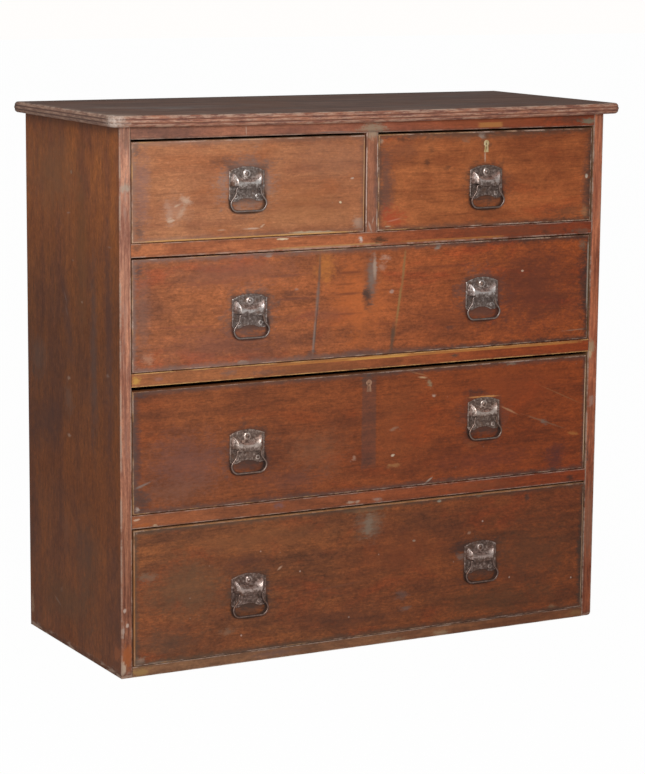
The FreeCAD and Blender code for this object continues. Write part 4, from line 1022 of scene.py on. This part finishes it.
def handleFinish(drawer, part):
    # blackened bronze, rubbed bright where hands and cloths reach it, and painted bright as highlight on the
    # rims, bosses, horns, wall tops, lip and the wire's front
    metal = handleMetal
    finish = Finish(f"{drawer}_{part}_metal")
    patch = finish.noise(finish.place, 190, 4, 0.6, 0.3)
    speck = finish.noise(finish.place, 700, 3, 0.6)
    soft = finish.noise(finish.place, 60, 3, 0.6)
    if part == "plate":
        rubAndPaintedLight = finish.attribute("rubAndPaintedLight")
    elif part == "bail":  # the round of the wire that faces the room, rubbed and painted bright as highlight
        rubAndPaintedLight = finish.fade(finish.split(finish.normal)[1], -0.4, -0.95, *metal["bailRubAndHighlight"])
    else:
        proud = finish.minus(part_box(drawer + "_front")[0].y, finish.y)
        rubAndPaintedLight = finish.fade(proud, 1 * mm, 4 * mm, *metal["screwRub"])
    wear = finish.scaleShift(finish.minus(patch, 0.5), metal["patchy"][part], rubAndPaintedLight)
    wear = finish.fade(wear, 0.0, 1.0)
    colour = finish.mix(wear, metal["dark"], metal["body"])
    bright = finish.fade(finish.scaleShift(speck, 0.5, wear), 0.65, 1.1)
    colour = finish.mix(bright, colour, metal["worn"])
    colour = finish.mix(finish.fade(soft, 0.52, 0.68, 0.0, 0.5), colour, metal["brown"])
    colour = finish.tint(colour, metal["tones"][drawer])
    finish.shader.inputs["Metallic"].default_value = metal["metallic"]
    rough = finish.fade(wear, 0.0, 1.0, metal["roughDark"], metal["roughWorn"])
    height = finish.scaleShift(patch, 0.6, finish.times(speck, 0.4))
    return finish.complete(colour, rough, height, 0.3, depth=0.3)


inlayLooks = {
    "top_right_keyhole_inlay": {"body": "e0cba0", "dark": "b69a68", "rim": "6a5232", "keyhole": "6e5638"},
    "third_keyhole_inlay": {"body": "ab7e62", "dark": "8c624a", "rim": "d0a88c", "keyhole": "5c3a2a"},
}


def inlayFinish(name):
    look = inlayLooks[name]
    low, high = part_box(name)
    middle, half = (low.x + high.x) / 2, (high.x - low.x) / 2
    finish = Finish(name + "_bone")
    fibre = finish.noise(finish.stretch((220, 220, 60)), 1, 3, 0.6, 0.2)
    colour = finish.mix(finish.fade(fibre, 0.35, 0.65), look["dark"], look["body"])
    sideways = finish.scaleShift(fibre, 1.5 * mm, finish.apart(finish.x, middle))
    rim = finish.fade(sideways, half - 0.5 * mm, half + 1 * mm, 0.0, 0.7)
    colour = finish.mix(rim, colour, look["rim"])
    across, upward = middle / mm, (low.z + high.z) / 2 / mm
    keyhole = [("chip", across, upward + 4, 2.4, 2.6, 0, look["keyhole"], 0.8),
               ("chip", across + 0.4, upward - 3, 1.5, 5, 0, look["keyhole"], 0.8)]
    colour = finish.marks(colour, keyhole, "xz", 1.0, finish.minus(fibre, 0.5))
    return finish.complete(colour, finish.fade(fibre, 0.3, 0.7, 0.5, 0.65), fibre, 0.2, depth=0.3)


pressedPlate = {  # millimetres from the bail's pivot line: x to the right, z up, proud of the drawer
    "halfWidth": 37, "top": 38.2, "foot": -27.3, "arch": 9, "scoop": 6, "scoopHalf": 21, "lobeRadius": 7,
    "sheet": 1.2, "rimRise": 0.35, "dents": 0.16, "dentsOften": 0.21, "softEdge": 0.5,
    "hornTip": (30, 26), "dip": 19, "baseCorner": 34, "lipHalf": 22.3, "lipHeight": 9.5, "lipProud": 13.5,
    "wallFoot": 2.6, "wallBulge": 1.6, "apronFoot": -1.9, "hollow": 2.6, "hoodSheet": 1.2,
    "screwBoss": (0, 24.7, 7.4, 5.6, 1.8), "pinBoss": (22.5, -17.8, 4.6, 3.0, 1.0),
    "earMiddle": 16.5, "earWidth": 3, "earRadius": 3.1, "pivotProud": 9.3, "wireRadius": 1.95,
}
plateSteps = {"across": 56, "upward": 48, "hoodAcross": 28, "hoodDown": 14, "wall": 4, "apron": 3, "ear": 24}
plateRubAndHighlight = {  # how bright the metal is, from 0 to 1: rubbed wear, and painted highlight on the rim, bosses, horns, wall tops and lip
    "sheet": 0.34, "rim": 0.16, "bosses": 0.4, "saddle": 0.52, "horns": 0.36, "lip": 0.22,
    "wallTop": 0.72, "wallFall": 0.4, "apronTop": 0.8, "apronFoot": 0.4, "underApron": 0.35, "ear": 0.45,
}


def plateEdges(x, plate=pressedPlate):
    # lower and upper outline of the plate at this distance from its middle line
    half, arch, scoop = plate["halfWidth"], plate["arch"], plate["scoop"]
    archRadius = (half ** 2 + arch ** 2) / (2 * arch)
    upper = plate["top"] - archRadius + math.sqrt(archRadius ** 2 - x ** 2)
    lower = plate["foot"]
    scoopHalf, lobe = plate["scoopHalf"], plate["lobeRadius"]
    scoopRadius = (scoopHalf ** 2 + scoop ** 2) / (2 * scoop)
    if abs(x) < scoopHalf:
        lower += scoop - scoopRadius + math.sqrt(scoopRadius ** 2 - x ** 2)
    elif abs(x) > half - lobe:
        lower += lobe - math.sqrt(max(0, lobe ** 2 - (abs(x) - half + lobe) ** 2))
    return lower, upper


def bossRise(x, z, boss):
    middle, height, foot, rim, rise = boss
    reach = math.hypot(abs(x) - middle, z - height)
    if reach >= foot:
        return 0
    if reach > rim:
        return rise * (foot - reach) / (foot - rim)
    return rise * (0.55 + 0.45 * (reach / rim) ** 4)  # dished towards the screw


def newShell():
    shell = bmesh.new()
    shell.verts.layers.float.new("rubAndPaintedLight")
    return shell


def joinShell(target, shell):
    spare = bpy.data.meshes.new("spare")
    shell.to_mesh(spare)
    target.from_mesh(spare)
    shell.free()
    bpy.data.meshes.remove(spare)


def rubbedAndLitGrid(columns, rows):
    # a flat sheet from -1 to 1, with the layer that says how bright it is rubbed and painted as highlight
    sheet = newShell()
    bmesh.ops.create_grid(sheet, x_segments=columns, y_segments=rows, size=1)
    return sheet, sheet.verts.layers.float["rubAndPaintedLight"]


def plateSheet(place, plate=pressedPlate):
    sheet, rubAndPaintedLight = rubbedAndLitGrid(plateSteps["across"], plateSteps["upward"])
    half = plate["halfWidth"]
    for vert in sheet.verts:
        x = half * math.sin(vert.co.x * math.pi / 2) * 0.35 + half * vert.co.x * 0.65
        lower, upper = plateEdges(x)
        z = lerp(lower, upper, (vert.co.y + 1) / 2)
        inside = min(half - abs(x), z - lower, upper - z)
        rim = max(0, 1 - abs(inside - 1.5) / 1.2)
        edge = min(1, inside / 0.6)
        bosses = bossRise(x, z, plate["screwBoss"]) + bossRise(x, z, plate["pinBoss"])
        vert[rubAndPaintedLight] = plateRubAndHighlight["sheet"] + plateRubAndHighlight["rim"] * rim + min(plateRubAndHighlight["bosses"], bosses)
        proud = plate["sheet"] * (0.6 + 0.4 * edge) + rim * plate["rimRise"] + bosses
        where = Vector((x + place.x, 7.0, z + place.z)) * plate["dentsOften"]
        proud += edge * plate["dents"] * noise.noise(where)
        vert.co = (x, -proud, z)
    back = bmesh.ops.extrude_face_region(sheet, geom=list(sheet.faces))
    for vert in back["geom"]:
        if isinstance(vert, bmesh.types.BMVert):
            vert.co.y = 0
    bmesh.ops.recalc_face_normals(sheet, faces=sheet.faces)
    return sheet


def hoodShell(plate=pressedPlate):
    # a saddle between two horns, with a wall at each end and an apron below the lip
    hornX, hornZ = plate["hornTip"]
    lipX, lipZ, lipY = plate["lipHalf"], plate["lipHeight"], plate["lipProud"]
    across, down = plateSteps["hoodAcross"], plateSteps["hoodDown"]

    def ridge(v):
        bend = v * math.pi / 2
        fall = (1 - math.cos(bend)) ** 0.85
        return Vector((lerp(hornX, lipX, v), lipY * math.sin(bend) ** 0.9, lerp(hornZ, lipZ, fall)))

    hood = newShell()
    saddle, rubAndPaintedLight = rubbedAndLitGrid(across, down)
    for vert in saddle.verts:
        u, v = vert.co.x, (1 - vert.co.y) / 2
        high = ridge(v)
        middle = Vector((0, lipY * v ** 1.1, lerp(plate["dip"], lipZ, v)))
        spot = middle.lerp(high, abs(u) ** plate["hollow"])
        # the horns and the lip are painted brighter, as highlight as well as wear
        vert[rubAndPaintedLight] = plateRubAndHighlight["saddle"] + plateRubAndHighlight["horns"] * abs(u) ** 3 + plateRubAndHighlight["lip"] * v ** 6
        vert.co = (high.x * u, -spot.y, spot.z)
    joinShell(hood, saddle)
    for side in (-1, 1):
        wall, rubAndPaintedLight = rubbedAndLitGrid(plateSteps["wall"], down)
        for vert in wall.verts:
            outward, v = (vert.co.x + 1) / 2, (1 - vert.co.y) / 2
            high = ridge(v)
            low = Vector((lerp(plate["baseCorner"], lipX, v), high.y, plate["wallFoot"]))
            spot = high.lerp(low, outward)
            spot.x += plate["wallBulge"] * math.sin(math.pi * outward) * (1 - v * v)
            # the tops of the end walls painted bright as highlight
            vert[rubAndPaintedLight] = plateRubAndHighlight["wallTop"] - plateRubAndHighlight["wallFall"] * outward
            vert.co = (side * spot.x, -spot.y, spot.z)
        joinShell(hood, wall)
    foot, under = plate["wallFoot"], plateRubAndHighlight["underApron"]
    for start, end, steps, bright, dull in (
            (lipZ, foot, plateSteps["wall"], plateRubAndHighlight["apronTop"], plateRubAndHighlight["apronFoot"]),
            (foot, plate["apronFoot"], plateSteps["apron"], under, under)):
        apron, rubAndPaintedLight = rubbedAndLitGrid(across, steps)
        for vert in apron.verts:
            fall = (1 - vert.co.y) / 2
            # the apron painted bright at its top edge as highlight, duller below
            vert[rubAndPaintedLight] = lerp(bright, dull, fall)
            vert.co = (vert.co.x * lipX, -lipY, lerp(start, end, fall))
        joinShell(hood, apron)
    bmesh.ops.remove_doubles(hood, verts=hood.verts, dist=0.05)
    bmesh.ops.recalc_face_normals(hood, faces=hood.faces)
    if sum(face.normal.y for face in hood.faces) > 0:
        bmesh.ops.reverse_faces(hood, faces=hood.faces)
    bmesh.ops.solidify(hood, geom=list(hood.faces), thickness=plate["hoodSheet"])
    bmesh.ops.recalc_face_normals(hood, faces=hood.faces)
    return hood


def ear(side, plate=pressedPlate):
    # a round end that holds the bail, on a stem from the plate
    tab = newShell()
    middle, proud, radius = side * plate["earMiddle"], plate["pivotProud"], plate["earRadius"]
    where = Matrix.Translation((middle, -proud, 0)) @ Matrix.Rotation(math.pi / 2, 4, "Y")
    bmesh.ops.create_cone(tab, cap_ends=True, segments=plateSteps["ear"], radius1=radius, radius2=radius,
                          depth=plate["earWidth"], matrix=where)
    size = Matrix.Diagonal((plate["earWidth"] * 0.96, proud - 0.6, radius * 1.9, 1))
    bmesh.ops.create_cube(tab, size=1, matrix=Matrix.Translation((middle, -proud / 2, 0)) @ size)
    for vert in tab.verts:
        vert[tab.verts.layers.float["rubAndPaintedLight"]] = plateRubAndHighlight["ear"]
    return tab


def placePiece(shell, name, material, soft=True):
    # a finished mesh in the shared frame
    for face in shell.faces:
        face.smooth = soft
    mesh = bpy.data.meshes.new(name)
    shell.to_mesh(mesh)
    shell.free()
    mesh.materials.append(material)
    piece = bpy.data.objects.new(name, mesh)
    bpy.context.scene.collection.objects.link(piece)
    return piece


def pressedPlates(drawer, material):
    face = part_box(drawer + "_front")[0].y
    plates = newShell()
    for bail in sorted(bailsOf(drawer)):
        low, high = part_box(bail)
        place = Vector(((low.x + high.x) / 2, face, high.z - pressedPlate["wireRadius"] * mm))
        whole = newShell()
        for shell in (plateSheet(place / mm), hoodShell(), ear(-1), ear(1)):
            joinShell(whole, shell)
        bmesh.ops.scale(whole, vec=(mm, mm, mm), verts=whole.verts)
        bmesh.ops.translate(whole, vec=place, verts=whole.verts)
        joinShell(plates, whole)
    piece = placePiece(plates, drawer + "_pressed_plates", material)
    rounding = piece.modifiers.new("softEdges", "BEVEL")
    rounding.width = pressedPlate["softEdge"] * mm
    rounding.segments = 2
    rounding.limit_method = "ANGLE"
    rounding.angle_limit = math.radians(38)
    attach(piece, drawer)
    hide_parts(drawer + "_handle_plates")


def dressNode(name, material):
    node = nodes[name]
    if not node.material_slots:
        node.data.materials.append(material)
    for slot in node.material_slots:
        slot.link = "OBJECT"
        slot.material = material


topMahogany = topFinish()
dressNode("top_board", topMahogany)
slab = placePiece(wornTopBoard(), "worn_top_board", topMahogany)
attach(slab, "carcase")
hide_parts("top_board")
dressNode("left_side", sideFinish("left_side", -1))
dressNode("right_side", sideFinish("right_side", 1))
for rail, look in railLooks.items():
    wood = railFinish(rail, look)
    dressNode(rail, wood)
    if "sag" in look:
        bowed = placePiece(saggedRail(rail, look["sag"]), "bowed_" + rail, wood, soft=False)
        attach(bowed, "carcase")
        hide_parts(rail)
dressNode("centre_divider", railFinish("centre_divider", dividerLook, along="z"))
print("carcase finished")

runnerPine = pineFinish("runner_pine", "y", 41, 0.8)
for name in ("left_runners", "right_runners", "centre_runner"):
    dressNode(name, runnerPine)
dressNode("top_back_rail", pineFinish("back_rail_pine", "x", 42, 0.85))
dressNode("dust_boards", pineFinish("dust_board_pine", "x", 43, 0.75))
dressNode("back_boards", pineFinish("back_board_pine", "z", 44, 0.8, boards=6))
sidePine = pineFinish("drawer_side_pine", "y", 45, 1.0)
crossPine = pineFinish("drawer_cross_pine", "x", 46, 1.0)
boxWoods = {"left_side": sidePine, "right_side": sidePine, "back": crossPine, "bottom": crossPine}

for drawer in drawers:
    dressNode(drawer + "_front", drawerFrontFinish(drawer))
    for part, wood in boxWoods.items():
        dressNode(f"{drawer}_{part}", wood)
    plateMetal = handleFinish(drawer, "plate")
    dressNode(drawer + "_handle_plates", plateMetal)
    pressedPlates(drawer, plateMetal)
    dressNode(drawer + "_handle_screws", handleFinish(drawer, "screw"))
    bailMetal = handleFinish(drawer, "bail")
    for bail in bailsOf(drawer):
        dressNode(bail, bailMetal)
for name in inlayLooks:
    dressNode(name, inlayFinish(name))
print("drawers finished")

studio = {
    "skyForLight": 0.27, "skyTint": (1.0, 0.985, 0.97, 1.0), "floorHalf": 30,
    "paper": (0.78, 0.775, 0.77, 1), "paperRough": 0.9, "paperShine": 0.1, "paperGlow": 0.985,
    "lights": {  # place, size, power and the point it looks at
        "keyLight": ((-1.2, -3.0, 1.75), (1.2, 1.0), 43, (-0.05, -0.2, 0.62)),
        "softBox": ((-0.95, -1.1, 2.45), (0.7, 0.7), 8, (0.0, -0.2, 0.6)),
        "sidePanel": ((-2.5, -0.7, 1.2), (0.4, 1.0), 3, (0.0, -0.2, 0.7)),
    },
}

for name, (place, size, power, aim) in studio["lights"].items():
    data = bpy.data.lights.new(name, "AREA")
    data.shape = "RECTANGLE"
    data.size, data.size_y = size
    data.energy = power
    lamp = bpy.data.objects.new(name, data)
    lamp.location = place
    lamp.rotation_euler = (Vector(aim) - Vector(place)).to_track_quat("-Z", "Y").to_euler()
    bpy.context.scene.collection.objects.link(lamp)

# a sky that is white to the camera and dimmer as a light
world = bpy.data.worlds.new("studioSky")
bpy.context.scene.world = world
world.use_nodes = True
sky = world.node_tree.nodes["Background"]
sky.inputs["Color"].default_value = studio["skyTint"]
rays = world.node_tree.nodes.new("ShaderNodeLightPath")
strength = world.node_tree.nodes.new("ShaderNodeMapRange")
strength.inputs["To Min"].default_value = studio["skyForLight"]
strength.inputs["To Max"].default_value = 1.0
world.node_tree.links.new(rays.outputs["Is Camera Ray"], strength.inputs["Value"])
world.node_tree.links.new(strength.outputs[0], sky.inputs["Strength"])

# white paper on the floor, which the camera sees almost wholly as light
floorMesh = bpy.data.meshes.new("studio_floor")
sheet = bmesh.new()
bmesh.ops.create_grid(sheet, x_segments=2, y_segments=2, size=studio["floorHalf"])
sheet.to_mesh(floorMesh)
sheet.free()
floor = bpy.data.objects.new("studio_floor", floorMesh)
bpy.context.scene.collection.objects.link(floor)
paper = bpy.data.materials.new("studio_paper")
paper.use_nodes = True
tree = paper.node_tree
body = tree.nodes["Principled BSDF"]
body.inputs["Base Color"].default_value = studio["paper"]
body.inputs["Roughness"].default_value = studio["paperRough"]
body.inputs["Specular IOR Level"].default_value = studio["paperShine"]
glow = tree.nodes.new("ShaderNodeEmission")
rays = tree.nodes.new("ShaderNodeLightPath")
share = tree.nodes.new("ShaderNodeMath")
share.operation = "MULTIPLY"
share.inputs[1].default_value = studio["paperGlow"]
blend = tree.nodes.new("ShaderNodeMixShader")
tree.links.new(rays.outputs["Is Camera Ray"], share.inputs[0])
tree.links.new(share.outputs[0], blend.inputs[0])
tree.links.new(body.outputs[0], blend.inputs[1])
tree.links.new(glow.outputs[0], blend.inputs[2])
tree.links.new(blend.outputs[0], tree.nodes["Material Output"].inputs["Surface"])
floorMesh.materials.append(paper)

bpy.context.scene.view_settings.view_transform = "Standard"
bpy.context.scene.view_settings.look = "None"
print("studio set")

cameraSet = {
    "place": (-2.4454, -4.5194, 1.36375), "turn": -0.49735, "tilt": 0.1695, "roll": -0.00865,
    "focalPixels": 2585.5, "frameWidth": 645,
}
turn, tilt, roll = cameraSet["turn"], cameraSet["tilt"], cameraSet["roll"]
ahead = Vector((-math.sin(turn) * math.cos(tilt), math.cos(turn) * math.cos(tilt), -math.sin(tilt)))
right = Vector((math.cos(turn), math.sin(turn), 0))
down = ahead.cross(right)
rightRolled = math.cos(roll) * right + math.sin(roll) * down
downRolled = -math.sin(roll) * right + math.cos(roll) * down
cameraData = bpy.data.cameras.new("studioCamera")
cameraData.sensor_fit = "HORIZONTAL"
cameraData.sensor_width = 36
cameraData.lens = cameraSet["focalPixels"] / cameraSet["frameWidth"] * cameraData.sensor_width
cameraData.clip_start, cameraData.clip_end = 0.05, 100
camera = bpy.data.objects.new("studioCamera", cameraData)
columns = Matrix((rightRolled, -downRolled, -ahead)).transposed().to_4x4()
camera.matrix_world = Matrix.Translation(cameraSet["place"]) @ columns
bpy.context.scene.collection.objects.link(camera)
bpy.context.scene.camera = camera

print("camera set")
